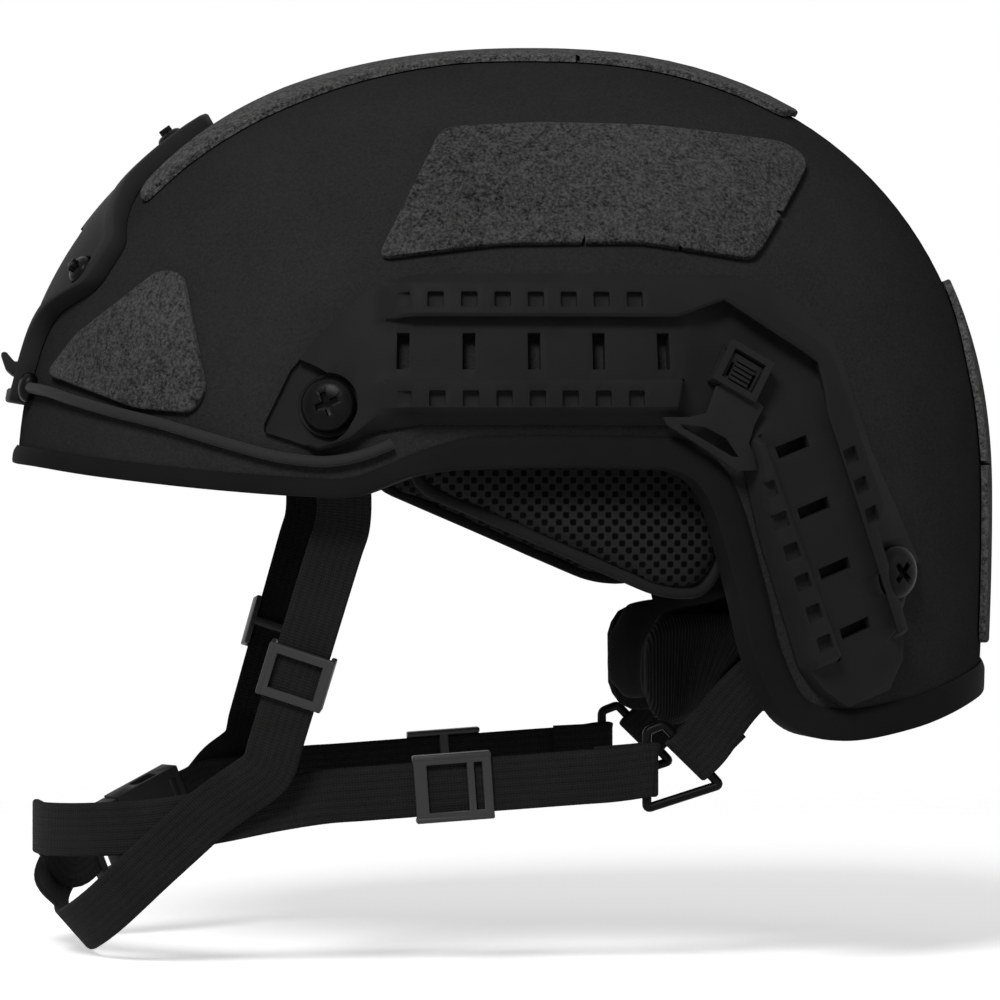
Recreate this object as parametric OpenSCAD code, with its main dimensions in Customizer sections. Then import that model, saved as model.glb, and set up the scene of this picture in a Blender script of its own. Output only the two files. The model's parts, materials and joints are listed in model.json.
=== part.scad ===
// High-cut protective helmet with side accessory rails, a front mount,
// a padded liner, a dial-set nape cradle and a four-point chin strap.
// The front of the helmet is at -X, the wearer's left at -Y, and +Z is up.

/* [Shell] */
// Half of the shell's outer width
shell_half_w = 106; // [100:1:112]
// Outer length from the crown line forward to the brow
shell_front_l = 147.5; // [142:0.5:153]
// Outer length from the crown line back to the rear wall
shell_rear_l = 127.6; // [124:0.2:134]
// Height of the crown above the widest line
shell_dome_h = 126.3; // [120:0.1:132]
// Fullness of the dome's curve, where 2 is an ellipse
shell_bulge = 2.27; // [2.15:0.01:2.4]
// Laminate wall
shell_wall = 8; // [7:0.5:9]
// Height of the brow edge at the middle
brow_z = 2.3; // [0:0.1:5]
// Height of the edge in front of the ear cut
temple_z = -6.5; // [-9:0.5:-4]
// Height of the edge over the ear
ear_z = 1.1; // [0:0.1:3]
// Height of the lowest edge, behind the ear
lobe_z = -73; // [-76:1:-70]
// Height of the edge at the nape
nape_z = -61; // [-65:1:-58]
// Bearing of the rear wall of the ear cut, from the front
ear_cut_deg = 110.5; // [109:0.5:112]

/* [Edge trim] */
// Thickness of the rubber round the edge
trim_t = 1.5; // [1:0.1:2]
// Outer lip of the trim along the brow
trim_brow_lip = 3.5; // [3:0.5:5]
// Outer lip of the trim from the ear cut to the nape
trim_ear_lip = 7; // [6:0.5:8]

/* [Rails] */
// Thickness of the rail's base flange
rail_flange_t = 2.6; // [2:0.1:3]
// Height of the rail's lips above the shell
rail_lip_h = 9; // [8:0.1:10]
// Height of the channel floor above the shell
rail_floor_h = 4.8; // [4:0.1:5.5]
// Half width of the channel between the lips
rail_channel_half = 8; // [7:0.1:9]
// Undercut of the channel below the lips
rail_undercut = 1.8; // [1:0.1:2.2]
// Length of an accessory slot
rail_slot_l = 10; // [8:0.5:11]
// Width of an accessory slot
rail_slot_w = 3.4; // [2.5:0.1:4]
// Spacing of the slots in the front limb
rail_slot_pitch = 17.1; // [16:0.1:18]
// Side of a square pocket in a lip
rail_pocket_w = 4.4; // [3.5:0.1:5]
// Depth of a pocket
rail_pocket_depth = 2.2; // [1.5:0.1:3]
// Spacing of the pockets
rail_pocket_pitch = 8.6; // [8:0.1:9]

/* [Fasteners] */
// Diameter of a rail bolt's head
bolt_head_d = 15; // [13:0.5:16]
// Height of a rail bolt's head
bolt_head_h = 3.6; // [3:0.1:4.5]
// Diameter of a rail bolt's shank
bolt_shank_d = 6; // [5:0.5:7]
// Diameter of the flange of an inner nut
nut_flange_d = 19; // [16:1:22]
// Diameter of a front mount screw's head
mount_screw_head_d = 8; // [7:0.5:9]
// Diameter of a front mount screw's shank
mount_screw_d = 4; // [3.5:0.5:5]

/* [Front mount] */
// Half width of the front mount at its shoulders
mount_half_w = 45; // [42:1:48]
// Thickness of the front mount
mount_t = 5.5; // [4.5:0.5:6.5]
// Width of the window that takes a device arm
mount_window_w = 32; // [28:1:36]
// Height of the window
mount_window_h = 30; // [24:1:34]
// Depth of the hook under the window
mount_hook_l = 4.5; // [3:0.5:6]

/* [Loop patches] */
// Thickness of a loop-pile patch
patch_t = 1.9; // [1.5:0.1:2.5]

/* [Liner] */
// Thickness of a hook disc between shell and pad
disc_t = 1.4; // [1:0.1:2]
// Diameter of a hook disc
disc_d = 16; // [12:1:20]
// Thickness of a comfort pad at its crown
pad_t = 15; // [12:1:17]
// Thickness of the nape pad
nape_pad_t = 13; // [10:1:15]
// Height of the nape cradle's band
yoke_h = 30; // [26:1:32]
// Thickness of the nape cradle's band
yoke_t = 2.6; // [2.2:0.2:3.2]

/* [Fit dial] */
// Diameter of the dial knob
knob_d = 32; // [28:1:34]
// Height of the dial knob
knob_h = 7; // [6:0.5:9]
// Number of grip ribs on the knob
knob_ribs = 24; // [16:1:30]
// Diameter of the knob's shaft
knob_shaft_d = 6; // [5:0.5:7]
// Pitch radius of the pinion
pinion_r = 4.8; // [4:0.2:5.4]
// Number of pinion teeth
pinion_teeth = 12; // [10:2:14]
// Height of a rack
rack_h = 4; // [3:0.5:5]
// Length of a rack
rack_l = 62; // [54:1:66]

/* [Webbing] */
// Width of the webbing
web_w = 15; // [13:0.5:17]
// Thickness of the webbing
web_t = 1.6; // [1.2:0.1:2]
// Thickness of a slider's bars
slider_t = 1.6; // [1.4:0.1:2]
// Length of a front slider along the webbing
slider_l = 15; // [14:0.5:17]
// Length of a rear slider along the webbing
rear_slider_l = 21.5; // [20:0.5:23]
// Width of a bar of a slider
slider_bar_w = 2.6; // [2.2:0.1:3]
// Wire diameter of a strap ring
ring_wire_d = 2.6; // [2:0.2:3]
// Diameter of the retention cord along the brow
bungee_d = 3; // [2.5:0.1:3.5]

/* [Chin buckle] */
// Outer width of the buckle's socket
buckle_w = 22; // [20:1:24]
// Outer thickness of the buckle's socket
buckle_t = 8; // [7:0.5:9]
// Length of the buckle's socket
buckle_socket_l = 22; // [20:1:24]
// Wall of the socket
buckle_wall = 1.6; // [1.4:0.1:1.8]

/* [Clearances] */
// Gap between a piece and the curved face that it lies on
seat_gap = 0.3; // [0.2:0.05:0.5]
// Radial clearance of a running shaft
run_gap = 0.06; // [0.03:0.01:0.1]
// Gap round a piece that slides
slide_gap = 0.3; // [0.2:0.05:0.4]

/* [Hidden] */

crown_x = 10;
waist_z = -10;
// How fast the wall draws in below its widest line
tuck = 0.0000043;
tiny = 0.0001;

function mix(a, b, t) = a + (b - a) * t;
function unit(v) = v / norm(v);
function flat(lists) = [for (list = lists) each list];
function sum_of(list) = list * [for (v = list) 1];

// Smooth curve through the points, with a number of steps between each two
function curve(p, steps) = concat([for (i = [0:len(p) - 2], s = [0:steps - 1])
    let(a = p[max(i - 1, 0)], b = p[i], c = p[i + 1], d = p[min(i + 2, len(p) - 1)], t = s / steps)
    0.5 * (2 * b + (c - a) * t + (2 * a - 5 * b + 4 * c - d) * pow(t, 2)
        + (3 * b - a - 3 * c + d) * pow(t, 3))],
    [p[len(p) - 1]]);

// The shell's outer surface, found from a bearing and a height, or from two coordinates
function level_size(z) = z > waist_z
    ? pow(max(1 - pow((z - waist_z) / shell_dome_h, shell_bulge), tiny), 1 / shell_bulge)
    : 1 - tuck * pow(z - waist_z, 2);
function reach(x) = x < crown_x ? shell_front_l : shell_rear_l;
function share(v, size) = pow(abs(v) / size, shell_bulge);
function left_over(v) = pow(max(v, tiny), 1 / shell_bulge);
function ring_at(bearing, z) =
    let(c = cos(bearing), s = sin(bearing), l = c > 0 ? shell_front_l : shell_rear_l,
        r = level_size(z) / pow(share(c, l) + share(s, shell_half_w), 1 / shell_bulge))
    [crown_x - r * c, -r * s, z];
function side_at(x, z) =
    [x, -shell_half_w * left_over(pow(level_size(z), shell_bulge) - share(x - crown_x, reach(x))), z];
function top_at(x, y) =
    [x, y, waist_z + shell_dome_h * left_over(1 - share(x - crown_x, reach(x)) - share(y, shell_half_w))];
function front_at(y, z) =
    [crown_x - shell_front_l * left_over(pow(level_size(z), shell_bulge) - share(y, shell_half_w)), y, z];
function rear_at(y, z) =
    [crown_x + shell_rear_l * left_over(pow(level_size(z), shell_bulge) - share(y, shell_half_w)), y, z];
function slope(v, size) = sign(v) * pow(abs(v) / size, shell_bulge - 1) / size;
function outward(p) =
    unit([slope(p.x - crown_x, reach(p.x)), slope(p.y, shell_half_w),
        p.z > waist_z ? slope(p.z - waist_z, shell_dome_h) : 2 * tuck * (p.z - waist_z)]);
function lay(p, off) = p + off * outward(p);
// Height on the dome as a share of its rise, for what keeps its place when the dome changes
function dome_z(part) = waist_z + part * shell_dome_h;

// Turns a child so that its +Z points along n, its +X runs level and its +Y up the wall
module face_along(n) {
    rotate([0, acos(n.z), atan2(n.y, n.x)]) rotate([0, 0, 90]) children();
}
module on_wall(p, off = 0) {
    translate(lay(p, off)) face_along(outward(p)) children();
}
module both_sides() {
    children();
    mirror([0, 1, 0]) children();
}

// Closed solid between two stacks of rings that each end in a middle point
module sheet(top, top_mid, low, low_mid) {
    count = len(top[0]);
    upper = len(top);
    lower = len(low);
    base = upper * count + 1;
    points = concat(flat(top), [top_mid], flat(low), [low_mid]);
    faces = concat(
        [for (k = [0:1:upper - 2], j = [0:count - 1])
            let(n = (j + 1) % count, a = k * count + j, b = k * count + n)
            each [[a, a + count, b + count], [a, b + count, b]]],
        [for (k = [0:1:lower - 2], j = [0:count - 1])
            let(n = (j + 1) % count, a = base + k * count + j, b = base + k * count + n)
            each [[a, b + count, a + count], [a, b, b + count]]],
        [for (j = [0:count - 1])
            let(n = (j + 1) % count, a = (upper - 1) * count, b = base + (lower - 1) * count)
            each [[a + j, base - 1, a + n], [b + j, b + n, base + lower * count],
                [base + j, j, n], [base + j, n, base + n]]]);
    polyhedron(points, faces, convexity = 8);
}

// Closed solid through a row of rings, capped at both ends
module loft(rings) {
    count = len(rings[0]);
    last = len(rings) - 1;
    total = len(rings) * count;
    ends = [for (r = [rings[0], rings[last]]) [for (axis = [0:2]) sum_of([for (p = r) p[axis]]) / count]];
    faces = concat(
        [for (k = [0:last - 1], j = [0:count - 1])
            let(n = (j + 1) % count, a = k * count + j, b = k * count + n)
            each [[a, a + count, b + count], [a, b + count, b]]],
        [for (j = [0:count - 1])
            let(n = (j + 1) % count)
            each [[total, j, n], [total + 1, last * count + n, last * count + j]]]);
    polyhedron(concat(flat(rings), ends), faces, convexity = 8);
}

// Closed loop through a row of rings
module loop(rings) {
    count = len(rings[0]);
    total = len(rings) * count;
    faces = [for (k = [0:len(rings) - 1], j = [0:count - 1])
        let(n = (j + 1) % count, a = k * count + j, b = k * count + n,
            c = (a + count) % total, d = (b + count) % total)
        each [[a, c, d], [a, d, b]]];
    polyhedron(flat(rings), faces, convexity = 8);
}

// Outline with rounded corners and edges split to follow a curved wall
function rounded(corners, r, splits = 4) =
    let(count = len(corners))
    [for (i = [0:count - 1])
        let(p = corners[i], a = corners[(i + count - 1) % count], b = corners[(i + 1) % count],
            q = p + unit(a - p) * r, s = p + unit(b - p) * r, next_q = b + unit(p - b) * r)
        each concat([q, (q + 2 * p + s) / 4], [for (k = [0:splits - 1]) mix(s, next_q, k / splits)])];
function middle(points) = [for (axis = [0:1]) sum_of([for (p = points) p[axis]]) / len(points)];

// A piece of even thickness that lies on the wall; place turns an outline point into a wall point
module wall_piece(outline, place, low, high, rings = 3) {
    mid = middle(outline);
    steps = [for (k = [0:rings - 1]) k / rings];
    at = function(t, off) [for (p = outline) lay(place(mix(p, mid, t)), off)];
    sheet([for (t = steps) at(t, high)], lay(place(mid), high),
        [for (t = steps) at(t, low)], lay(place(mid), low));
}

// A cushion against the inside of the wall: crowned, with sides that pull in
module wall_cushion(outline, place, back, thick) {
    mid = middle(outline);
    profile = [[0.05, 0.28], [0, 0.55], [0.06, 0.82], [0.22, 0.95], [0.55, 1]];
    at = function(t, off) [for (p = outline) lay(place(mix(p, mid, t)), off)];
    sheet([for (k = [0.12, 0.4, 0.7]) at(k, -back)], lay(place(mid), -back),
        [for (s = profile) at(s[0], -back - thick * s[1])], lay(place(mid), -back - thick));
}

side_place = function(p) side_at(p.x, p.y);
top_place = function(p) top_at(p.x, p.y);
ring_place = function(p) ring_at(p.x, p.y);

// The shell's cut edge as bearing and height, from the brow round to the nape
edge_points = [[0, brow_z], [14, brow_z - 1], [28, mix(brow_z, temple_z, 0.45)],
    [42, mix(brow_z, temple_z, 0.8)], [53, temple_z], [60, temple_z], [68, ear_z - 2], [78, ear_z],
    [98, ear_z], [ear_cut_deg - 4.5, ear_z - 1.6], [ear_cut_deg, mix(ear_z, lobe_z, 0.14)],
    [ear_cut_deg + 4, mix(ear_z, lobe_z, 0.46)], [ear_cut_deg + 7, mix(ear_z, lobe_z, 0.73)],
    [ear_cut_deg + 12, mix(ear_z, lobe_z, 0.94)], [ear_cut_deg + 20, lobe_z],
    [ear_cut_deg + 32, mix(lobe_z, nape_z, 0.2)], [ear_cut_deg + 50, mix(lobe_z, nape_z, 0.75)],
    [180, nape_z]];
edge_half = curve(edge_points, 3);
edge_loop = concat(edge_half, [for (i = [len(edge_half) - 2:-1:1]) [-edge_half[i][0], edge_half[i][1]]]);
shell_rings = 9;
radian = 180 / PI;

function dome_angle(z) = let(part = (z - waist_z) / shell_dome_h) part > 0 ? asin(part) : part * radian;
function dome_height(t) = waist_z + shell_dome_h * (t > 0 ? sin(t) : t / radian);
function shell_ring(off, step) = [for (e = edge_loop)
    lay(ring_at(e[0], dome_height(mix(dome_angle(e[1]), 90, step / shell_rings))), off)];

front_bolt = [-54, 16];
rear_bolt = [99.4, -29];
bolt_hole_d = bolt_shank_d + 0.6;
mount_hole_d = mount_screw_d + 0.6;
mount_mid_z = dome_z(0.491);
mount_screws = [[0, dome_z(0.784)], [mount_half_w - 7, mount_mid_z], [7 - mount_half_w, mount_mid_z]];

module shell() {
    crown = top_at(crown_x, 0);
    color("dimgray") difference() {
        sheet([for (k = [0:shell_rings - 1]) shell_ring(0, k)], crown,
            [for (k = [0:shell_rings - 1]) shell_ring(-shell_wall, k)], lay(crown, -shell_wall));
        both_sides() for (b = [front_bolt, rear_bolt])
            on_wall(side_at(b.x, b.y))
                cylinder(h = 4 * shell_wall, d = bolt_hole_d, center = true, $fn = 32);
        for (s = mount_screws)
            on_wall(front_at(s.x, s.y))
                cylinder(h = 4 * shell_wall, d = mount_hole_d, center = true, $fn = 24);
    }
}

// U section round the cut edge; its outer lip grows from the brow to the ear cut
trim_gap = 0.15;
trim_inner_lip = 3;
trim_steps = [for (i = [0:len(edge_loop) - 1]) i];
function trim_lip(bearing) = mix(trim_brow_lip, trim_ear_lip, min(max((abs(bearing) - 66) / 10, 0), 1));
function trim_section(i) =
    let(count = len(edge_loop), e = edge_loop[i], p = ring_at(e[0], e[1]),
        a = edge_loop[(i + count - 1) % count], b = edge_loop[(i + 1) % count],
        n = outward(p), up = unit(cross(n, ring_at(b[0], b[1]) - ring_at(a[0], a[1]))),
        far = trim_gap + trim_t, lip = trim_lip(e[0]), w = shell_wall)
    [for (s = [[-far, -w - far], [trim_inner_lip, -w - far], [trim_inner_lip, -w - trim_gap],
        [-trim_gap, -w - trim_gap], [-trim_gap, trim_gap], [lip, trim_gap], [lip, far], [-far, far]])
        p + s[0] * up + s[1] * n];
module edge_trim() {
    color("black") loop([for (i = trim_steps) trim_section(i)]);
}

// Front mount: a shield on the brow with a raised rim, a window, a hook below it and three screws
mount_low_z = dome_z(0.214);
mount_hook_z = dome_z(0.317);
mount_lug_top = dome_z(0.279);
mount_lug_t = 4.6;
// Width of the raised rim, and how far the field inside it lies lower
mount_rim = 4;
mount_field = 1.2;
mount_half = [[12, dome_z(0.823)], [19, dome_z(0.7)], [mount_half_w, dome_z(0.56)],
    [mount_half_w, dome_z(0.462)], [26, dome_z(0.412)], [20, dome_z(0.36)], [19, mount_low_z]];
mount_outline = rounded(concat([[0, dome_z(0.839)]], [for (q = mount_half) [-q.x, q.y]],
    [for (i = [len(mount_half) - 1:-1:0]) mount_half[i]]), 3, 2);
mount_inner = let(mid = middle(mount_outline)) [for (p = mount_outline) p + mount_rim * unit(mid - p)];
mount_place = function(p) front_at(-p.x, p.y);
// How deep the heads of the mount's screws lie below its face
mount_sink = 1.5;
module mount_hook() {
    linear_extrude(mount_window_w + 4, center = true)
        polygon([[1, -4.5], [-mount_hook_l + 2, -4.8], [-mount_hook_l, -3], [-mount_hook_l - 1.5, 1.5],
            [-mount_hook_l, 2], [-mount_hook_l + 2.5, -1], [1, -0.3]]);
}
module front_mount() {
    centre = front_at(0, mount_mid_z);
    hook = front_at(0, mount_hook_z);
    color("dimgray") difference() {
        union() {
            difference() {
                wall_piece(mount_outline, mount_place, seat_gap, mount_t, 4);
                wall_piece(mount_inner, mount_place, mount_t - mount_field, 2 * mount_t, 2);
            }
            translate([hook.x - mount_t + 2, 0, mount_hook_z]) rotate([90, 0, 0]) mount_hook();
        }
        translate([centre.x - mount_t, 0, mount_mid_z])
            cube([8 * mount_t, mount_window_w, mount_window_h], center = true);
        translate([hook.x - mount_lug_t - mount_t, 0, mount_lug_top - mount_window_h / 2])
            cube([2 * mount_t, 2 * mount_window_w, mount_window_h], center = true);
        for (s = mount_screws) on_wall(front_at(s.x, s.y)) {
            cylinder(h = 4 * mount_t, d = mount_screw_d + 0.4, center = true, $fn = 24);
            translate([0, 0, mount_t - mount_sink])
                cylinder(h = mount_t, d = mount_screw_head_d + 1, $fn = 32);
        }
    }
}
module screw(head_d, head_h, shank_d, length, recess) {
    difference() {
        union() {
            rotate_extrude($fn = 40) polygon([[0, 0], [head_d / 2, 0], [head_d / 2, head_h * 0.35],
                [head_d * 0.44, head_h * 0.7], [head_d * 0.28, head_h * 0.95], [0, head_h]]);
            translate([0, 0, -length]) cylinder(h = length + 0.1, d = shank_d, $fn = 32);
        }
        for (a = [0, 90]) rotate([0, 0, a])
            translate([0, 0, head_h]) cube([recess, recess / 4.5, head_h], center = true);
    }
}
mount_nut_h = 1.4;
mount_nut_gap = 0.8;
mount_head_h = 2.6;
mount_recess_w = 3.6;
mount_nut_off = shell_wall + mount_nut_gap + mount_nut_h;
module front_mount_screws() {
    length = mount_t - mount_sink + mount_nut_off;
    color("gray") for (s = mount_screws) on_wall(front_at(s.x, s.y), mount_t - mount_sink)
        screw(mount_screw_head_d, mount_head_h, mount_screw_d, length, mount_recess_w);
}
module front_mount_nuts() {
    color("gray") for (s = mount_screws) on_wall(front_at(s.x, s.y), -mount_nut_off) difference() {
        cylinder(h = mount_nut_h, d = mount_screw_d + 5, $fn = 36);
        cylinder(h = 12, d = mount_screw_d + 0.1, center = true, $fn = 24);
    }
}

// Stations along a rail: axis point in side view, lean of the cross line, distance from the axis to the
// outer and the inner edge, how full the outer and the inner lip stand, the outer lip's outer end, the
// half width of the channel there and the height of its floor
rail_axis_z = 29.7;
rear_top = [68.5, 4.8];
rear_low = [86.1, -43.9];
rear_lean = 90 - atan2(rear_top.y - rear_low.y, rear_low.x - rear_top.x);
function rear_axis(z) = mix(rear_top, rear_low, (z - rear_top.y) / (rear_low.y - rear_top.y));
front_lip = 16.5;
front_rows = let(t = rail_flange_t, c = rail_channel_half, f = rail_floor_h, z = rail_axis_z)
    [[-71, 10, 90, 1.2, 1.2, 0, 0, front_lip, c, t], [-64, 15.8, 90, 9.6, 9.2, 0, 0, front_lip, c, 3.2],
    [-56.5, 18.7, 90, 15.2, 15, 0, 0, front_lip, c, 4.2], [-48, 24, 90, 17.5, 17.6, 0, 0, front_lip, c, f],
    [-41, z, 90, 19, 20.5, 0, 0, front_lip, c, f], [-31, z, 90, 21.3, 18.8, 1, 1, front_lip, c, f],
    [-10, z, 90, 21.5, 18.8, 1, 1, front_lip, c, f], [20, z, 90, 21.5, 18.8, 1, 1, front_lip, c, f],
    [36, z, 83, 21.5, 19, 1, 1, front_lip, c, f], [39.4, z, 80, 21.7, 19.3, 1, 1, 16.7, c + 1.4, f],
    [41, z, 79, 21.8, 19.4, 1, 0, 16.8, c + 2.2, 4.2], [43.5, z, 76, 21.9, 19.7, 1, 0, 17.1, c + 3.5, 3.2],
    [46.2, z, 74, 22, 20, 1, 0, 17.4, c + 4.8, t], [48.6, z, 73, 22, 22, 1, 0, 15.9, c + 3.4, t],
    [53, 28.5, 70, 22.8, 23, 1, 0, 14.2, c + 1.8, t], [59, 24.5, 62, 24, 23, 1, 0, 14, c + 1.7, t],
    [64, 17.5, 42, 24.5, 16.5, 1, 0, 17.8, c + 5.3, t + 0.4]];
// The rear limb's rows: height of the axis point instead of its place, and no lean
rear_rows = let(c = rail_channel_half, f = rail_floor_h)
    [[10.5, 23, 12, 1, 0, 16.5, c + 2.4, f], [8, 23, 12.2, 1, 1, 16.5, c + 2.2, f],
    [-4, 23, 14.3, 1, 1, 16.5, c + 2, f], [-16, 24.3, 15.7, 1, 1, 16.4, c + 1.7, f],
    [-19, 24.8, 15.8, 1, 1, 14.5, c + 1.6, f], [-20.5, 25, 15.8, 1, 1, 12.6, c + 1.6, f],
    [-34.8, 26.3, 16.3, 1, 1, 12.2, c + 1.2, f], [-48, 14.5, 16.8, 1, 1, 11.6, c + 0.8, f],
    [-50, 13, 16.5, 0, 0, 11.6, c + 0.8, f], [-56, 10.5, 14.5, 0, 0, 11.6, c + 0.8, f],
    [-62.5, 5, 8.5, 0, 0, 11.6, c + 0.8, 3.2]];
rail_stations = concat(front_rows,
    [for (s = rear_rows) let(p = rear_axis(s[0])) concat([p.x, p.y, rear_lean], slice(s, 1, 7))]);
inner_lip = 15;
rail_rim_h = 1.2;
lip_flank = 1.5;
lip_chamfer = 0.8;
// Half a section from its edge to its middle: distances from the axis, and heights above the shell
function lip_run(edge, end, c, full) =
    let(k = min(1, (edge - 0.4) / (end + lip_flank)), u = c + rail_undercut)
    [edge, k * (end + lip_flank), k * end, k * (c + lip_chamfer), k * c, k * mix(c - 1, u, full),
        k * mix(c - 2, u, full), 3 * k];
function lip_heights(floor_h, full) = [rail_rim_h, for (v = [rail_flange_t, rail_lip_h - 0.4, rail_lip_h,
    rail_lip_h - 0.6, floor_h + 0.8, floor_h, floor_h]) mix(floor_h, v, full)];
function rail_section(s) =
    let(o = s[3], i = s[4], inner_end = max(min(inner_lip, i - 2.4), rail_channel_half + 1.6),
        outer = lip_run(o, s[7], s[8], s[5]), inner = lip_run(i, inner_end, rail_channel_half, s[6]),
        outer_h = lip_heights(s[9], s[5]), inner_h = lip_heights(s[9], s[6]),
        top = concat([for (j = [0:7]) [outer[j], outer_h[j]]],
            [for (j = [7:-1:0]) [-inner[j], inner_h[j]]]),
        low = [for (t = [0, 0.25, 0.5, 0.75, 1]) [mix(-i, o, t), seat_gap]])
    [for (q = concat(top, low))
        lay(side_at(s[0] + q[0] * cos(s[2]), s[1] + q[0] * sin(s[2])), q[1])];

front_slots = 5;
rear_slots = 4;
front_pockets = 8;
first_slot_x = -34.3;
first_pocket_x = -34;
bolt_seat_h = 1.8;
// The front foot is cut down to the bolt's seat in front of this curved step
seat_outline = rounded([[-80, 30], [-80, 5.5], [-53, 5.5], [-48.3, 9.3], [-46.6, 15.2], [-49.5, 21],
    [-55.9, 25.5], [-61.7, 28.1]], 2, 2);
module slot_cut(l, w) {
    cube([w, l, 4 * rail_lip_h], center = true);
}
module pocket_cut() {
    translate([0, 0, rail_lip_h]) cube([rail_pocket_w, rail_pocket_w, 2 * rail_pocket_depth], center = true);
}
module rail() {
    color("black") difference() {
        loft([for (s = rail_stations) rail_section(s)]);
        for (i = [0:front_slots - 1])
            on_wall(side_at(first_slot_x + i * rail_slot_pitch, rail_axis_z))
                slot_cut(rail_slot_l, rail_slot_w);
        for (i = [0:rear_slots - 1]) {
            c = mix(rear_top, rear_low, i / (rear_slots - 1));
            on_wall(side_at(c.x, c.y)) rotate([0, 0, rear_lean - 90]) slot_cut(rail_slot_l, rail_slot_w);
        }
        for (i = [0:front_pockets - 1], v = [12.3, -12.8])
            on_wall(side_at(first_pocket_x + i * rail_pocket_pitch, rail_axis_z + v)) pocket_cut();
        for (i = [0:5]) {
            c = rear_axis(-2.6 - i * 8.2) + -11.2 * [cos(rear_lean), sin(rear_lean)];
            on_wall(side_at(c.x, c.y)) rotate([0, 0, rear_lean]) pocket_cut();
        }
        for (i = [0:2]) {
            c = rear_axis(-1.8 - i * 7.8) + 12.3 * [cos(rear_lean), sin(rear_lean)];
            on_wall(side_at(c.x, c.y)) rotate([0, 0, rear_lean]) pocket_cut();
        }
        wall_piece(seat_outline, side_place, bolt_seat_h, 3 * rail_lip_h, 2);
        for (b = [front_bolt, rear_bolt]) on_wall(side_at(b.x, b.y)) {
            cylinder(h = 60, d = bolt_hole_d, center = true, $fn = 32);
            translate([0, 0, bolt_seat_h]) cylinder(h = 20, d = bolt_head_d + 2, $fn = 40);
        }
    }
}
module rail_left() rail();
module rail_right() mirror([0, 1, 0]) rail();

anchor_h = 2;
// Room for the wall's curve across the webbing
web_ease = 0.5;
anchor_off = shell_wall + web_t + 2 * seat_gap + web_ease + 0.5;
bolt_l = bolt_seat_h + anchor_off + anchor_h;
module rail_bolts() {
    color("dimgray") both_sides() for (b = [front_bolt, rear_bolt]) on_wall(side_at(b.x, b.y), bolt_seat_h)
        screw(bolt_head_d, bolt_head_h, bolt_shank_d, bolt_l, 6.5);
}
module anchor_nuts() {
    color("gray") both_sides() for (b = [front_bolt, rear_bolt])
        on_wall(side_at(b.x, b.y), -anchor_off - anchor_h) difference() {
            cylinder(h = anchor_h, d = nut_flange_d, $fn = 40);
            cylinder(h = 12, d = bolt_shank_d + 0.1, center = true, $fn = 32);
        }
}

// Removable catch in the corner of a rail, with a sprung ribbed tab and a finger loop
clip_at = [54.3, 24.1];
clip_turn = -30;
clip_w = 13.4;
clip_l = 12.4;
clip_base_h = rail_flange_t + 0.5;
clip_top_h = rail_lip_h - 0.6;
clip_rim = 2.1;
loop_low = rail_floor_h + seat_gap;
loop_high = loop_low + 1.4;
loop_outline = [[33.4, 12.4], [34.4, 10.4], [38, 8.2], [45.4, 3.6], [52.8, -1.6], [58.2, -1.3],
    [57.3, 2.7], [56, 5.6], [57.4, 10.2], [60, 15], [54, 21], [47.5, 20.5], [44.8, 13.5], [40, 12.4]];
loop_window = [[38.6, 11.2], [45.4, 10.4], [51.2, 7.4], [54.6, 2.4], [52.8, 2.5], [45.4, 6.8],
    [39.3, 10.2]];
tab_w = clip_w - 2 * clip_rim;
tab_l = clip_l - 2 * clip_rim;
tab_t = 2;
tab_ribs = 5;
tab_rib_w = 0.8;
tab_slit = 0.9;
tab_pivot_y = tab_l / 2 - 1.3;
tab_pivot_h = clip_base_h + 3;
tab_pin_d = 2;
module on_clip() {
    on_wall(side_at(clip_at.x, clip_at.y)) rotate([0, 0, clip_turn]) children();
}
module clip() {
    window_mid = side_at(middle(loop_window).x, middle(loop_window).y);
    color("black") difference() {
        union() {
            on_clip() translate([-clip_w / 2, -clip_l / 2, clip_base_h])
                cube([clip_w, clip_l, clip_top_h - clip_base_h]);
            wall_piece(loop_outline, side_place, loop_low, loop_high, 2);
        }
        on_clip() translate([-tab_w / 2 - slide_gap, -tab_l / 2 - slide_gap, clip_base_h + 0.8])
            cube([tab_w + 2 * slide_gap, tab_l + 2 * slide_gap, 20]);
        on_clip() translate([0, tab_pivot_y, tab_pivot_h]) rotate([0, 90, 0])
            cylinder(h = clip_w + 1, d = tab_pin_d + 2 * run_gap, center = true, $fn = 24);
        translate([0, window_mid.y, 0]) rotate([90, 0, 0])
            linear_extrude(30, center = true) polygon(loop_window);
    }
}
module clip_tab() {
    pitch = (tab_l - 1.5) / tab_ribs;
    color("dimgray") on_clip() difference() {
        union() {
            translate([-tab_w / 2, -tab_l / 2, tab_pivot_h - tab_t / 2]) cube([tab_w, tab_l - 0.5, tab_t]);
            for (i = [0:tab_ribs - 1])
                translate([-tab_w / 2 + 2 * tab_slit, -tab_l / 2 + 0.3 + pitch * i, tab_pivot_h])
                    cube([tab_w - 4 * tab_slit, tab_rib_w, tab_t]);
            translate([0, tab_pivot_y, tab_pivot_h]) rotate([0, 90, 0])
                cylinder(h = clip_w - 1, d = tab_pin_d, center = true, $fn = 24);
        }
        for (x = [-1, 1]) translate([x * (tab_w / 2 - 1.2), -1.2, tab_pivot_h])
            cube([tab_slit, tab_l - 4, 6], center = true);
    }
}
module rail_clip_left() clip();
module rail_clip_right() mirror([0, 1, 0]) clip();
module clip_tab_left() clip_tab();
module clip_tab_right() mirror([0, 1, 0]) clip_tab();

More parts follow.
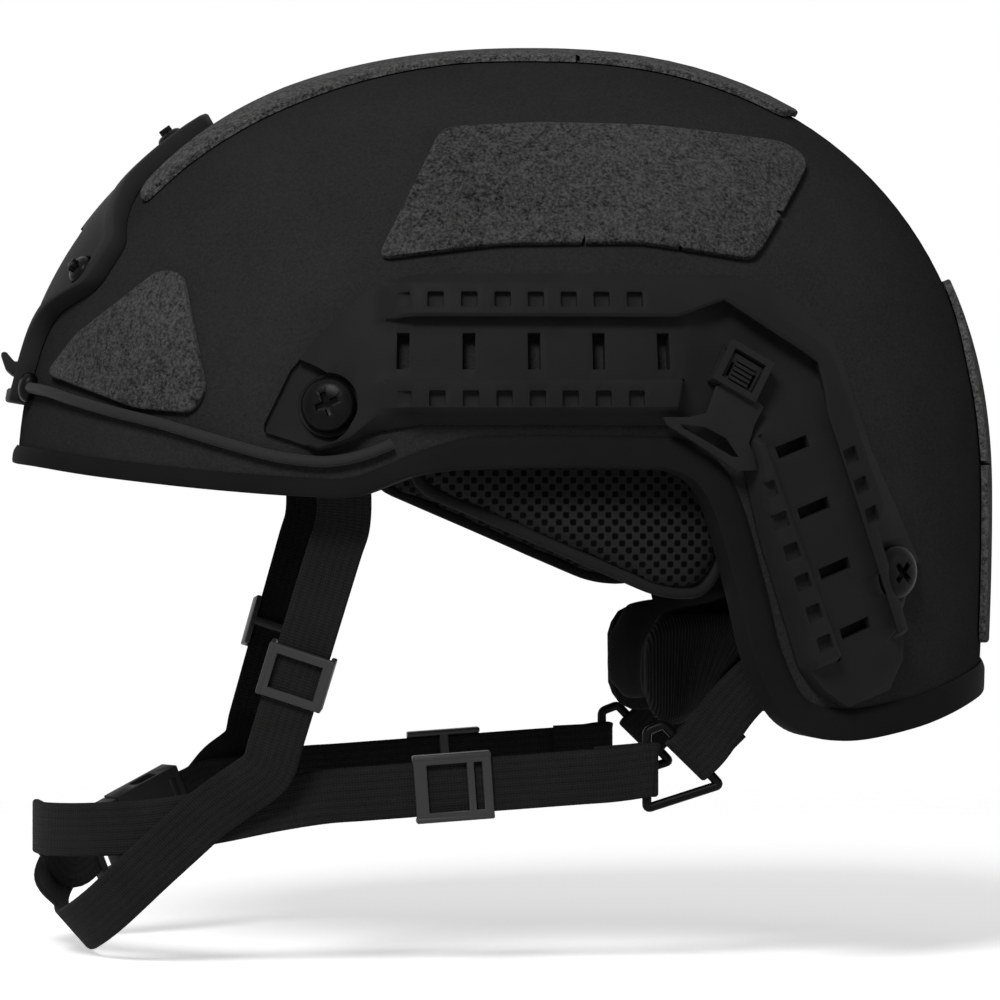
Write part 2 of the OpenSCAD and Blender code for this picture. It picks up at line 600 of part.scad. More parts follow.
// Elastic retention cord along the brow, held by the mount's hook and the rail's foot
bungee_route = [[9, 21.5], [16, 20.2], [22, 17.7], [29, 14.4], [36, 11], [46, 4.8], [51, 2.2],
    [56.5, 1.1], [61, 2.7], [65, 5.8]];
bungee_sides = 8;
module bungee() {
    path = [for (q = curve(bungee_route, 2)) lay(ring_at(q[0], q[1]), bungee_d / 2 + seat_gap)];
    last = len(path) - 1;
    color("black") loft([for (i = [0:last])
        let(t = unit(path[min(i + 1, last)] - path[max(i - 1, 0)]), w = unit(cross(outward(path[i]), t)))
        [for (k = [0:bungee_sides - 1]) let(a = k * 360 / bungee_sides)
            path[i] + bungee_d / 2 * (cos(a) * w + sin(a) * cross(t, w))]]);
}
module bungee_left() bungee();
module bungee_right() mirror([0, 1, 0]) bungee();

// Loop-pile patches
// Room for the wall's curve between the points of a patch
patch_low = 1.5 * seat_gap;
patch_top = patch_low + patch_t;
module front_patch() {
    color("dimgray") wall_piece(rounded([[-128, 24.8], [-105, 15.4], [-90, 14], [-86.2, 20], [-92, 52],
        [-98, 52.6], [-120, 35.6]], 2.8), side_place, patch_low, patch_top, 2);
}
module front_patch_left() front_patch();
module front_patch_right() mirror([0, 1, 0]) front_patch();
module side_patch() {
    color("dimgray") wall_piece(rounded([[-41, dome_z(0.515)], [-8, dome_z(0.546)], [30, dome_z(0.55)],
        [61, dome_z(0.515)], [80, dome_z(0.736)], [74, dome_z(0.776)], [35, dome_z(0.808)],
        [5, dome_z(0.812)], [-22, dome_z(0.8)]], 4), side_place, patch_low, patch_top);
}
module side_patch_left() side_patch();
module side_patch_right() mirror([0, 1, 0]) side_patch();
module crown_patch() {
    color("dimgray") wall_piece(rounded([[-102, -37], [-60, -35], [-15, -30], [40, -33], [76, -36],
        [82, -22], [82, 22], [76, 36], [40, 33], [-15, 30], [-60, 35], [-102, 37],
        [-102, 29], [-62, 11], [-62, -11], [-102, -29]], 3), top_place, patch_low, patch_top, 5);
}
module rear_patch() {
    color("dimgray") wall_piece(rounded([[-37, -50], [37, -50], [38, 30], [26, 52], [-26, 52], [-38, 30]], 5),
        function(p) rear_at(p.x, p.y), patch_low, patch_top, 5);
}

// Liner: comfort pads on hook discs
// Room for the wall's curve across a flat disc
disc_ease = 1.0;
disc_back = shell_wall + seat_gap + disc_ease;
pad_back = disc_back + disc_t + 1.5 * seat_gap;
disc_places = concat([for (b = [-26, 26]) ring_at(b, 34)], [for (b = [-164, 164]) ring_at(b, 20)],
    [for (x = [-18, 42], y = [-1, 1]) let(p = side_at(x, 16)) [p.x, p.y * y, p.z]],
    [for (x = [-28, 42]) top_at(x, 0)]);
module hook_discs() {
    color("black") for (p = disc_places) on_wall(p, -disc_back - disc_t)
        cylinder(h = disc_t, d = disc_d, $fn = 32);
}
module crown_pad() {
    color("black") wall_cushion(rounded([[-52, -20], [-40, -38], [55, -38], [70, -20], [70, 20],
        [55, 38], [-40, 38], [-52, 20]], 8, 2), top_place, pad_back, pad_t);
}
module front_pad() {
    color("black") wall_cushion(rounded([[-44, 14], [0, 16], [44, 14], [46, 46], [0, 50],
        [-46, 46]], 5, 2), ring_place, pad_back, pad_t);
}
side_pad_outline = rounded([[-34, 36], [-38, 10], [-33, -6], [16, -27], [38, -35.5], [52, -36],
    [60, -20], [62, 36]], 6, 2);
module side_pad() {
    color("black") wall_cushion(side_pad_outline, side_place, pad_back, pad_t);
}
module side_pad_left() side_pad();
module side_pad_right() mirror([0, 1, 0]) side_pad();
module rear_pad() {
    color("black") wall_cushion(rounded([[142, 2], [180, 0], [218, 2], [216, 40], [180, 44],
        [144, 40]], 5, 3), ring_place, pad_back, pad_t);
}

// Webbing rings below the nape
ring_y = -59;
ring_corners = [[35.5, -73.2], [35.5, -94.6], [55.8, -88.2], [40.2, -71.4]];
wrap = ring_wire_d / 2 + 0.3 + web_t / 2;

// Nape cradle: a band bent round the neck, with a pad inside it and the fit dial behind it
yoke_half_y = 50;
yoke_end = [34, -57];
yoke_mid = [66.3, -53.8];
yoke_end_lean = 17;
dial_tilt = 45;
yoke_last_deg = 80;
function yoke_at(a) = [mix(yoke_end[0], yoke_mid[0], cos(a)), -yoke_half_y * sin(a),
    mix(yoke_end[1], yoke_mid[1], cos(a) * cos(a))];
function yoke_lean(a) = let(l = mix(yoke_end_lean, dial_tilt, cos(a) * cos(a))) [sin(l), 0, cos(l)];
function yoke_frame(a) =
    let(t = unit(yoke_at(a + 1) - yoke_at(a - 1)), side = unit(yoke_lean(a) - (yoke_lean(a) * t) * t))
    [yoke_at(a), side, cross(t, side)];
function section(frame, outline) = [for (q = outline) frame[0] + q[0] * frame[1] + q[1] * frame[2]];
function bar(half_w, half_t) = [[-half_w, -half_t], [half_w, -half_t], [half_w, half_t], [-half_w, half_t]];
function wide_bar(half_w, half_t) = concat([for (k = [-2:2]) [k * half_w / 2, -half_t]],
    [for (k = [2:-1:-2]) [k * half_w / 2, half_t]]);

dial_at = [yoke_mid[0], 0, yoke_mid[1]] + yoke_t / 2 * [sin(90 - dial_tilt), 0, -cos(90 - dial_tilt)];
dial_base_h = 1.5;
dial_box_w = 28;
dial_box_l = 54;
dial_floor = 1.2;
rack_t = 2.6;
cover_h = 1.8;
rack_z = dial_base_h + dial_floor + slide_gap;
cover_z = rack_z + rack_t + slide_gap;
knob_z = cover_z + cover_h + slide_gap;
module on_dial() {
    translate(dial_at) rotate([0, 90 + dial_tilt, 0]) children();
}
// Lug at each end of the band, up to the tail of the nape webbing
lug_deg = 60;
lug_drop = 8;
lug_to = [53.8, ring_y + wrap - 0.4 + web_t / 2 + seat_gap, -73];
lug_w = 12;
module yoke_lug() {
    start = yoke_frame(lug_deg);
    outline = bar(lug_w / 2, yoke_t / 2);
    loft([section([start[0] - lug_drop * start[1], start[1], cross(start[1], start[2])], outline),
        section([lug_to, [0, 0, 1], [-1, 0, 0]], outline)]);
}
module nape_yoke() {
    color("black") union() {
        both_sides() yoke_lug();
        loft([for (a = [-yoke_last_deg:10:yoke_last_deg])
            section(yoke_frame(a), wide_bar(yoke_h / 2, yoke_t / 2))]);
        on_dial() translate([0, 0, dial_base_h / 2 - 0.5])
            cube([dial_box_w, dial_box_l, dial_base_h + 1], center = true);
    }
}
// Section of the nape pad: height as a share of the band's half height, and share of its thickness
nape_section = [[-1, 0], [-0.5, 0], [0, 0], [0.5, 0], [1, 0], [1.2, 0.3], [1.15, 0.62], [0.9, 0.88],
    [0.35, 1], [-0.35, 1], [-0.9, 0.88], [-1.15, 0.62], [-1.2, 0.3]];
nape_ends = [0.4, 0.8, 0.95];
module nape_pad() {
    degs = [-90:10:90];
    color("black") loft([for (a = degs)
        let(edge = (90 - abs(a)) / 10, size = edge < 3 ? nape_ends[edge] : 1)
        section(yoke_frame(a), [for (q = nape_section)
            [q[0] * size * yoke_h / 2, yoke_t / 2 + 2 * seat_gap + q[1] * size * nape_pad_t]])]);
}

tooth_pitch = 2 * PI * pinion_r / pinion_teeth;
tooth_h = 0.6;
tooth_root = 0.8;
tooth_base_w = tooth_pitch * 0.48;
tooth_tip_w = tooth_pitch * 0.2;
rack_clear = 0.3;
module pinion_outline() {
    polygon([for (i = [0:pinion_teeth - 1], q = [[-tooth_base_w, -tooth_root], [-tooth_tip_w, tooth_h],
        [tooth_tip_w, tooth_h], [tooth_base_w, -tooth_root]])
        let(a = i * 360 / pinion_teeth + q[0] / 2 / pinion_r * radian, r = pinion_r + q[1])
        [r * cos(a), r * sin(a)]]);
}
// A rack beside the pinion; its teeth point to -X and lie half a pitch off the middle
module rack() {
    half = floor(rack_l / 2 / tooth_pitch) - 1;
    base = pinion_r + tooth_root + rack_clear;
    tip = pinion_r - tooth_h + rack_clear;
    teeth = [for (i = [-half:half - 1]) let(y = (i + 0.5) * tooth_pitch)
        each [[base, y - tooth_base_w / 2], [tip, y - tooth_tip_w / 2], [tip, y + tooth_tip_w / 2],
            [base, y + tooth_base_w / 2]]];
    color("gray") translate([0, 0, rack_z]) difference() {
        linear_extrude(rack_t) polygon(concat([[base, -rack_l / 2]], teeth,
            [[base, rack_l / 2], [base + rack_h, rack_l / 2], [base + rack_h, -rack_l / 2]]));
        for (y = [-1, 1]) translate([base + rack_h / 2, y * (rack_l / 2 - 2.5), -1])
            cylinder(h = 6, d = 2, $fn = 24);
    }
}
rack_room = pinion_r + tooth_root + rack_clear + rack_h + slide_gap;
module rack_lower() on_dial() rack();
module rack_upper() on_dial() mirror([1, 0, 0]) rack();
module dial_housing() {
    color("black") on_dial() difference() {
        translate([-dial_box_w / 2, -dial_box_l / 2, dial_base_h])
            cube([dial_box_w, dial_box_l, cover_z - dial_base_h]);
        translate([-rack_room, -dial_box_l, dial_base_h + dial_floor])
            cube([2 * rack_room, 2 * dial_box_l, 20]);
    }
}
module dial_cover() {
    color("black") on_dial() translate([0, 0, cover_z]) difference() {
        linear_extrude(cover_h) polygon(rounded([[-dial_box_w / 2, -dial_box_l / 2],
            [dial_box_w / 2, -dial_box_l / 2], [dial_box_w / 2, dial_box_l / 2],
            [-dial_box_w / 2, dial_box_l / 2]], 4));
        cylinder(h = 3 * cover_h, d = knob_shaft_d + 2 * run_gap, center = true, $fn = 40);
    }
}
knob_groove = 0.9;
knob_face_h = 1.2;
module dial_knob() {
    steps = knob_ribs * 4;
    color("black") on_dial() union() {
        translate([0, 0, knob_z]) linear_extrude(knob_h - knob_face_h) polygon([for (i = [0:steps - 1])
            let(a = i * 360 / steps, r = knob_d / 2 - (i % 4 < 2 ? 0 : knob_groove))
            [r * cos(a), r * sin(a)]]);
        translate([0, 0, knob_z + knob_h - knob_face_h]) rotate_extrude($fn = 60)
            polygon([[0, 0], [knob_d / 2 - 1.4, 0], [knob_d / 2 - 3, knob_face_h], [0, knob_face_h]]);
        translate([0, 0, rack_z - slide_gap / 2])
            cylinder(h = knob_z - rack_z + slide_gap, d = knob_shaft_d, $fn = 40);
    }
}
module dial_pinion() {
    color("gray") on_dial() translate([0, 0, rack_z]) difference() {
        linear_extrude(rack_t) pinion_outline();
        cylinder(h = 20, d = knob_shaft_d + 0.06, center = true, $fn = 40);
    }
}

// Webbing. A station holds a point and the way the webbing's outer face looks there
function web_frames(stations) =
    let(last = len(stations) - 1, p = [for (s = stations) [s[0], s[1], s[2]]])
    [for (i = [0:last])
        let(t = unit(p[min(i + 1, last)] - p[max(i - 1, 0)]),
            hint = [stations[i][3], stations[i][4], stations[i][5]], n = unit(hint - (hint * t) * t))
        [p[i], cross(n, t), n]];
module webbing(frames) {
    loft([for (f = frames) section(f, bar(web_w / 2, web_t / 2))]);
}
function slice(list, a, b) = [for (i = [a:b]) list[i]];
function flip_y(stations) = [for (s = stations) [s[0], -s[1], s[2], s[3], -s[4], s[5]]];
module on_frame(p, t, n) {
    s = cross(n, t);
    translate(p) rotate([atan2(s.z, n.z), -asin(t.z), atan2(t.y, t.x)]) children();
}
web_back = shell_wall + seat_gap + web_ease + web_t / 2;
buckle_at = [-106.5, 46.5, -107];
buckle_turn = [0, 23.6, 209.4];
buckle_x = [cos(buckle_turn.z) * cos(buckle_turn.y), sin(buckle_turn.z) * cos(buckle_turn.y),
    -sin(buckle_turn.y)];
buckle_y = [-sin(buckle_turn.z), cos(buckle_turn.z), 0];
plug_l = 12.2;
plug_end = plug_l + seat_gap;
socket_end = -buckle_socket_l - seat_gap;
// Distance of each of two bands that meet at the buckle from its middle plane
web_stack = web_t / 2 + 0.25;
function buckle_station(x, y) = concat(buckle_at + x * buckle_x + y * buckle_y, -buckle_y);
function wall_station(p, off) = let(q = lay(p, -off), n = outward(p)) [q.x, q.y, q.z, n.x, n.y, n.z];

// Straight runs that the sliders travel on, as two ends
front_run = [[-51.6, -83.7, -21], [-67.6, -70.7, -76]];
rear_run = [[26, -61.2, -85.2], [-54, -61.2, -90.8]];
function run_way(run) = unit(run[1] - run[0]);
function run_station(run, t, n) = let(p = mix(run[0], run[1], t)) [p.x, p.y, p.z, n.x, n.y, n.z];
front_face = [-0.22, -0.95, -0.2];
rear_face = [0, -1, 0];

front_start = concat([wall_station(side_at(front_bolt.x + 0.5, front_bolt.y + 11), web_back),
    wall_station(side_at(front_bolt.x, front_bolt.y), web_back),
    wall_station(side_at(front_bolt.x, front_bolt.y - 10.5), web_back),
    wall_station(side_at(front_bolt.x + 1, temple_z + 1), web_back + trim_t + 1)],
    [for (t = [-0.1, 0.05, 0.5, 0.9, 1]) run_station(front_run, t, front_face)]);
join_left = [[-70, -66.6, -83.4, -0.27, -0.94, -0.2], [-77, -63, -89, -0.3, -0.93, -0.2],
    [-85, -59.2, -95, -0.32, -0.92, -0.22]];
under_route = [[-93, -55.4, -102.5, -0.36, -0.9, -0.25], [-102, -49.5, -111.3, -0.45, -0.83, -0.33],
    [-112.5, -35.5, -122.5, -0.62, -0.6, -0.5], [-119, -18, -129.2, -0.72, -0.25, -0.64],
    [-121.5, 0, -131.6, -0.75, 0, -0.66], [-122.6, 15, -129.6, -0.77, 0.3, -0.56],
    [-127.6, 30.2, -122.6, -0.72, 0.64, -0.3], buckle_station(19.5, -2.9),
    buckle_station(plug_end + 1.5, -web_stack), buckle_station(plug_end, -web_stack)];
front_web = curve(concat(front_start, join_left, under_route), 2);
front_last = 2 * (len(front_start) + len(join_left) - 1);
front_right_web = curve(concat(flip_y(front_start), [[-70, 66.8, -83.4, -0.27, 0.94, -0.2],
    [-77.5, 63.5, -89.3, -0.35, 0.9, -0.15], buckle_station(-30, -1.4),
    buckle_station(socket_end - 1.5, -web_stack), buckle_station(socket_end, -web_stack)]), 2);

rear_bar = mix(ring_corners[0], ring_corners[1], 0.5);
nape_bar = mix(ring_corners[2], ring_corners[3], 0.5);
wrap_degs = [90:-45:-90];
rear_start = concat([[rear_bar.x - 14, ring_y - 0.6, rear_bar.y - 1, 0, 1, 0],
    [rear_bar.x - 4, ring_y + wrap - 0.4, rear_bar.y - 0.4, 0, 1, 0]], [for (a = wrap_degs)
        [rear_bar.x + wrap * cos(a), ring_y + wrap * sin(a), rear_bar.y, cos(a), sin(a), 0]]);
rear_mid = [for (t = [0, 0.15, 0.5, 0.85, 1]) run_station(rear_run, t, rear_face)];
join_rear = [[-68, -59.8, -93.1, -0.12, -0.99, -0.1], [-84, -56.4, -96.5, -0.3, -0.94, -0.15]];
chin_route = [[-101, -46.8, -99.6, -0.6, -0.8, 0], [-118, -31.5, -101.4, -0.72, -0.69, 0],
    [-128.7, -14.5, -102.3, -0.93, -0.35, 0], [-132.2, 0, -102.5, -1, 0, 0],
    [-131.5, 12, -103.2, -0.93, 0.35, 0],
    [-128, 24, -106.8, -0.8, 0.6, 0], buckle_station(20.5, 2.1),
    buckle_station(plug_end + 1.5, web_stack), buckle_station(plug_end, web_stack)];
rear_web = curve(concat(rear_start, rear_mid, join_rear, chin_route), 2);
rear_last = 2 * (len(rear_start) + len(rear_mid) + len(join_rear) - 1);
rear_right_web = curve(concat(flip_y(concat(rear_start, rear_mid)), [[-67, 60.1, -93.2, -0.12, 0.99, -0.1],
    buckle_station(-31, 1.4), buckle_station(socket_end - 1.5, web_stack),
    buckle_station(socket_end, web_stack)]), 2);
front_frames = web_frames(front_web);
rear_frames = web_frames(rear_web);

module bolt_cut(b) {
    on_wall(side_at(b.x, b.y)) cylinder(h = 60, d = bolt_hole_d + 0.6, center = true, $fn = 32);
}
module front_strap_left() {
    color("black") difference() {
        webbing(slice(front_frames, 0, front_last));
        bolt_cut(front_bolt);
    }
}
module front_strap_right() {
    color("black") difference() {
        webbing(web_frames(front_right_web));
        mirror([0, 1, 0]) bolt_cut(front_bolt);
    }
}
module rear_strap_left() {
    color("black") webbing(slice(rear_frames, 0, rear_last));
}
module rear_strap_right() {
    color("black") webbing(web_frames(rear_right_web));
}
module chin_under_strap() {
    color("black") webbing(slice(front_frames, front_last, len(front_frames) - 1));
}
module chin_front_strap() {
    color("black") webbing(slice(rear_frames, rear_last, len(rear_frames) - 1));
}
nape_way = unit([49, 0, 50]);
nape_out = [0, -1, 0];
function nape_station(along, out, n_along, n_out) =
    concat([nape_bar.x, ring_y, nape_bar.y] + along * nape_way + out * nape_out,
        n_along * nape_way + n_out * nape_out);
nape_route = concat([nape_station(14, -0.6, 0, -1), nape_station(4, 0.4 - wrap, 0, -1)],
    [for (a = wrap_degs) nape_station(-wrap * cos(a), -wrap * sin(a), -cos(a), -sin(a))],
    [nape_station(5, wrap + 0.4, 0, 1), [60, -65.6, -64.2, 0.2, -0.95, 0], [74, -71.6, -50.2, 0.3, -0.95, 0],
    wall_station(side_at(rear_bolt.x - 6.5, rear_bolt.y - 8), web_back + 0.4),
    wall_station(side_at(rear_bolt.x, rear_bolt.y), web_back),
    wall_station(side_at(rear_bolt.x + 7, rear_bolt.y + 8), web_back + 0.2)]);
module nape_strap() {
    color("black") difference() {
        webbing(web_frames(curve(nape_route, 2)));
        bolt_cut(rear_bolt);
    }
}
module nape_strap_left() nape_strap();
module nape_strap_right() mirror([0, 1, 0]) nape_strap();

module strap_ring() {
    count = len(ring_corners);
    color("gray") union() for (i = [0:count - 1]) {
        a = [ring_corners[i].x, ring_y, ring_corners[i].y];
        b = [ring_corners[(i + 1) % count].x, ring_y, ring_corners[(i + 1) % count].y];
        translate(a) face_along(unit(b - a)) cylinder(h = norm(b - a), d = ring_wire_d, $fn = 24);
        translate(a) sphere(d = ring_wire_d + 0.05, $fn = 24);
    }
}
module strap_ring_left() strap_ring();
module strap_ring_right() mirror([0, 1, 0]) strap_ring();

// Slider: bars over the webbing, one behind it in the middle, joined by side rails
slider_rail = 1.5;
slider_in = web_t / 2 + slide_gap;
slider_half_w = web_w / 2 + slide_gap;
front_bars = [[0, slider_bar_w], [slider_l - slider_bar_w, slider_bar_w]];
slider_slot = 2.2;
wide_bar_w = 1.4 * slider_bar_w;
rear_bars = [[0, slider_bar_w], [slider_slot + slider_bar_w, 2], [rear_slider_l - wide_bar_w, wide_bar_w]];
module slider_bar(start, w, z) {
    translate([start, -slider_half_w - 0.1, z]) cube([w, 2 * slider_half_w + 0.2, slider_t]);
}
// Bars are given as their start from the slider's -X end and their width
module slider_body(l, bars) {
    color("dimgray") translate([-l / 2, 0, 0]) union() {
        for (y = [-1, 1]) translate([l / 2, y * (slider_half_w + slider_rail / 2), 0])
            cube([l, slider_rail, 2 * slider_in + 2 * slider_t], center = true);
        for (b = bars) slider_bar(b[0], b[1], slider_in);
        slider_bar((l - slider_bar_w) / 2, slider_bar_w, -slider_in - slider_t);
    }
}
front_slider_share = [0.655, 0.51];
rear_slider_share = [0.553, 0.463];
module on_run(run, share_on_run, face) {
    t = run_way(run);
    on_frame(mix(run[0], run[1], share_on_run), t, unit(face - (face * t) * t)) children();
}
module front_slider(share_on_run) {
    on_run(front_run, share_on_run, front_face) slider_body(slider_l, front_bars);
}
module rear_slider(share_on_run) {
    on_run(rear_run, share_on_run, rear_face) slider_body(rear_slider_l, rear_bars);
}
module front_slider_left() front_slider(front_slider_share[0]);
module front_slider_right() mirror([0, 1, 0]) front_slider(front_slider_share[1]);
module rear_slider_left() rear_slider(rear_slider_share[0]);
module rear_slider_right() mirror([0, 1, 0]) rear_slider(rear_slider_share[1]);

// Side-release buckle below the right cheek; +X runs from its socket to its plug
module on_buckle() {
    translate(buckle_at) rotate(buckle_turn) children();
}
prong_root_d = 3;
prong_root = [3.4, 5.9];
prong_slot = 3.4;
plug_t = buckle_t - 0.8;
module buckle_socket() {
    inner_t = buckle_t - 2 * buckle_wall;
    inner_w = buckle_w - 2 * buckle_wall;
    color("black") on_buckle() difference() {
        translate([-buckle_socket_l, -buckle_t / 2, -buckle_w / 2])
            cube([buckle_socket_l, buckle_t, buckle_w]);
        translate([-buckle_socket_l + 5.5, -inner_t / 2, -inner_w / 2]) cube([40, inner_t, inner_w]);
        translate([-15.6, -inner_t / 2, -buckle_w]) cube([7.4, inner_t, 2 * buckle_w]);
        translate([-buckle_socket_l + 1.8, -buckle_t, -web_w / 2 - 0.5]) cube([2.2, 2 * buckle_t, web_w + 1]);
    }
}
module buckle_plug() {
    color("black") on_buckle() difference() {
        union() {
            translate([0.3, -plug_t / 2, -buckle_w / 2 + 0.4]) cube([5.7, plug_t, buckle_w - 0.8]);
            for (z = [-1, 1]) translate([8.5, 0, z * (web_w / 2 + 1.8)])
                cube([7, plug_t - 2, 2.4], center = true);
            translate([10.2, -plug_t / 2 + 1, -web_w / 2 - 3]) cube([2, plug_t - 2, web_w + 6]);
            translate([-13, -1.6, -1.3]) cube([14, 3.2, 2.6]);
        }
        for (z = [-1, 1]) {
            translate([prong_root.x, 0, z * prong_root.y]) rotate([90, 0, 0])
                cylinder(h = 20, d = prong_root_d + 2 * run_gap, center = true, $fn = 36);
            translate([prong_root.x - 5, 0, z * prong_root.y]) cube([8, 20, prong_slot], center = true);
        }
    }
}
module buckle_prong() {
    thick = buckle_t - 2 * buckle_wall - 2 * slide_gap;
    color("black") union() {
        translate([prong_root.x, 0, prong_root.y]) rotate([90, 0, 0])
            cylinder(h = thick, d = prong_root_d, center = true, $fn = 36);
        rotate([90, 0, 0]) linear_extrude(thick, center = true)
            polygon([[prong_root.x, prong_root.y - 0.9], [prong_root.x, prong_root.y + 0.9],
                [-1, prong_root.y + 1.1], [-8.8, 8.9], [-8.8, 10.5], [-15, 9], [-15.2, 6.8], [-9, 5.6],
                [-1, prong_root.y - 1.1]]);
    }
}
module buckle_prong_upper() on_buckle() buckle_prong();
module buckle_prong_lower() on_buckle() mirror([0, 0, 1]) buckle_prong();

shell();
edge_trim();
front_mount();
front_mount_screws();
front_mount_nuts();
rail_left();
rail_right();
rail_bolts();
anchor_nuts();
rail_clip_left();
rail_clip_right();
clip_tab_left();
clip_tab_right();
bungee_left();
bungee_right();
front_patch_left();
front_patch_right();
side_patch_left();
side_patch_right();
crown_patch();
rear_patch();
hook_discs();
crown_pad();
front_pad();
side_pad_left();
side_pad_right();
rear_pad();
nape_yoke();
nape_pad();
dial_housing();
dial_cover();
dial_knob();
dial_pinion();
rack_upper();
rack_lower();
nape_strap_left();
nape_strap_right();
strap_ring_left();
strap_ring_right();
front_strap_left();
front_strap_right();
rear_strap_left();
rear_strap_right();
front_slider_left();
front_slider_right();
rear_slider_left();
rear_slider_right();
chin_front_strap();
chin_under_strap();
buckle_socket();
buckle_plug();
buckle_prong_upper();
buckle_prong_lower();
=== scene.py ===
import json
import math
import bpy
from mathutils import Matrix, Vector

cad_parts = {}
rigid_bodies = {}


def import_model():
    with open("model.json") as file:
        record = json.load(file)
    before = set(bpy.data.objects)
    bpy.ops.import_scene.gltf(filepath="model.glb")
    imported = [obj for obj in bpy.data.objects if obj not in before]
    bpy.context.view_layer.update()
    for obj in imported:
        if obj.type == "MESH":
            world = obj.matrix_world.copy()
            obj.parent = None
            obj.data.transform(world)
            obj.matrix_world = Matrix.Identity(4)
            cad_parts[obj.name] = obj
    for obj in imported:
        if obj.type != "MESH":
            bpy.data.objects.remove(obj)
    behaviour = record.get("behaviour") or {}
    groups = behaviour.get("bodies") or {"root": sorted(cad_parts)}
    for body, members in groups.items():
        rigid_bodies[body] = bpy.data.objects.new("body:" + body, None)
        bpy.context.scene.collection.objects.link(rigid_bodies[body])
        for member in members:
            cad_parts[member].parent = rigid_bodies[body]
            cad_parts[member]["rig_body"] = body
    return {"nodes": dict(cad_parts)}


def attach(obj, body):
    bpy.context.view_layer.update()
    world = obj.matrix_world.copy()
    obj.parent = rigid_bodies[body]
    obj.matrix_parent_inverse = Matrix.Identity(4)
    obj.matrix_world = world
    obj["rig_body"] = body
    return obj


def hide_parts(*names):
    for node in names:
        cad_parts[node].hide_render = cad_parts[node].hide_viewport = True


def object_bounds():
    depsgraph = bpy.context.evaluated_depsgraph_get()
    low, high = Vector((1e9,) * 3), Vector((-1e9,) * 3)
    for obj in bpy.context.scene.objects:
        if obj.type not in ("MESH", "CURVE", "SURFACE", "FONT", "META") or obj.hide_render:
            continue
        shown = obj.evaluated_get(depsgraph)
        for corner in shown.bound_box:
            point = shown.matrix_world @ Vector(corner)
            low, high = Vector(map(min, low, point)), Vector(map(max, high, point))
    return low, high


bl_info = {
    "name": "High-cut Helmet",
    "version": (1, 0, 0),
    "blender": (4, 5, 0),
    "location": "View3D > Sidebar > Helmet",
    "description": "Builds a high-cut protective helmet with rails, loop patches, liner and chin strap",
    "category": "Add Mesh",
}

import bmesh
import bpy
import numpy as np
from bpy.props import FloatProperty, FloatVectorProperty, PointerProperty
from mathutils import Vector

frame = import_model()
CAD_BOX = [list(corner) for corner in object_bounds()]
MM = 0.001

# Constants of the shell's curve that the pieces on it share, in millimetres
CROWN_X = 10.0
WAIST_Z = -10.0
TUCK = 4.3e-6
SEAT = 0.3


# Settings


def length(name, text, default, low, high):
    return FloatProperty(name=name, description=text, default=default, min=low, max=high, unit="LENGTH",
                         subtype="DISTANCE", precision=4)


def colour(name, text, default):
    return FloatVectorProperty(name=name, description=text, default=default, size=3, min=0, max=1,
                               subtype="COLOR")


class HelmetShape(bpy.types.PropertyGroup):
    half_width: length("Half width", "Half of the shell's outer width", 0.106, 0.1, 0.112)
    front_length: length("Front length", "From the crown line forward to the brow", 0.1475, 0.142, 0.153)
    rear_length: length("Rear length", "From the crown line back to the rear wall", 0.1276, 0.124, 0.134)
    dome_height: length("Dome height", "Height of the crown above the widest line", 0.1263, 0.12, 0.132)
    bulge: FloatProperty(name="Bulge", description="Fullness of the dome's curve, where 2 is an ellipse",
                         default=2.27, min=2.15, max=2.4)
    wall: length("Wall", "Thickness of the laminate", 0.008, 0.007, 0.009)
    patch_thickness: length("Patch thickness", "Thickness of a loop-pile patch", 0.0019, 0.0015, 0.0025)
    web_width: length("Webbing width", "Width of the webbing", 0.015, 0.013, 0.017)
    web_thickness: length("Webbing thickness", "Thickness of the webbing", 0.0016, 0.0012, 0.002)
    cord_diameter: length("Cord diameter", "Diameter of the cord along the brow", 0.003, 0.0025, 0.0035)


class HelmetColours(bpy.types.PropertyGroup):
    shell: colour("Shell", "Sand-grained paint of the shell", (0.0252, 0.025, 0.0245))
    trim: colour("Trim", "Rubber round the edge", (0.0112, 0.0111, 0.0109))
    mount: colour("Mount", "Coating of the front mount", (0.0255, 0.0255, 0.025))
    rail: colour("Rail", "Moulded rails and catches", (0.0152, 0.0152, 0.0149))
    steel: colour("Blackened steel", "Bolts, screws and rings", (0.0032, 0.0032, 0.0032))
    patch: colour("Loop pile", "Loop-pile patches of the sides and the front", (0.048, 0.0477, 0.0467))
    # Painted light: the same loop pile made paler, standing in for the top light and grazing sheen that the
    # crown and rear patches catch
    lit_patch: colour("Pale loop pile", "Loop-pile patches of the crown and the rear",
                       (0.075, 0.0745, 0.073))
    webbing: colour("Webbing", "Woven webbing", (0.0138, 0.0138, 0.0133))
    pad: colour("Mesh", "Spacer mesh of the pads", (0.0112, 0.0112, 0.011))
    slider: colour("Slider", "Moulded sliders", (0.03, 0.03, 0.0294))
    cord: colour("Cord", "Braid of the retention cord", (0.026, 0.026, 0.0254))


class HelmetFabric(bpy.types.PropertyGroup):
    voxel: length("Voxel", "Cell of the remesh before a pad is inflated", 0.0045, 0.004, 0.006)
    pressure: FloatProperty(name="Pressure", description="Pressure inside a pad", default=4.0, min=1, max=8)
    rise: length("Rise", "Furthest that a point of a pad may move", 0.004, 0.001, 0.016)
    mesh_pitch: length("Mesh pitch", "Spacing of the rows of holes in the spacer mesh", 0.0019, 0.0015, 0.003)


# Shapes


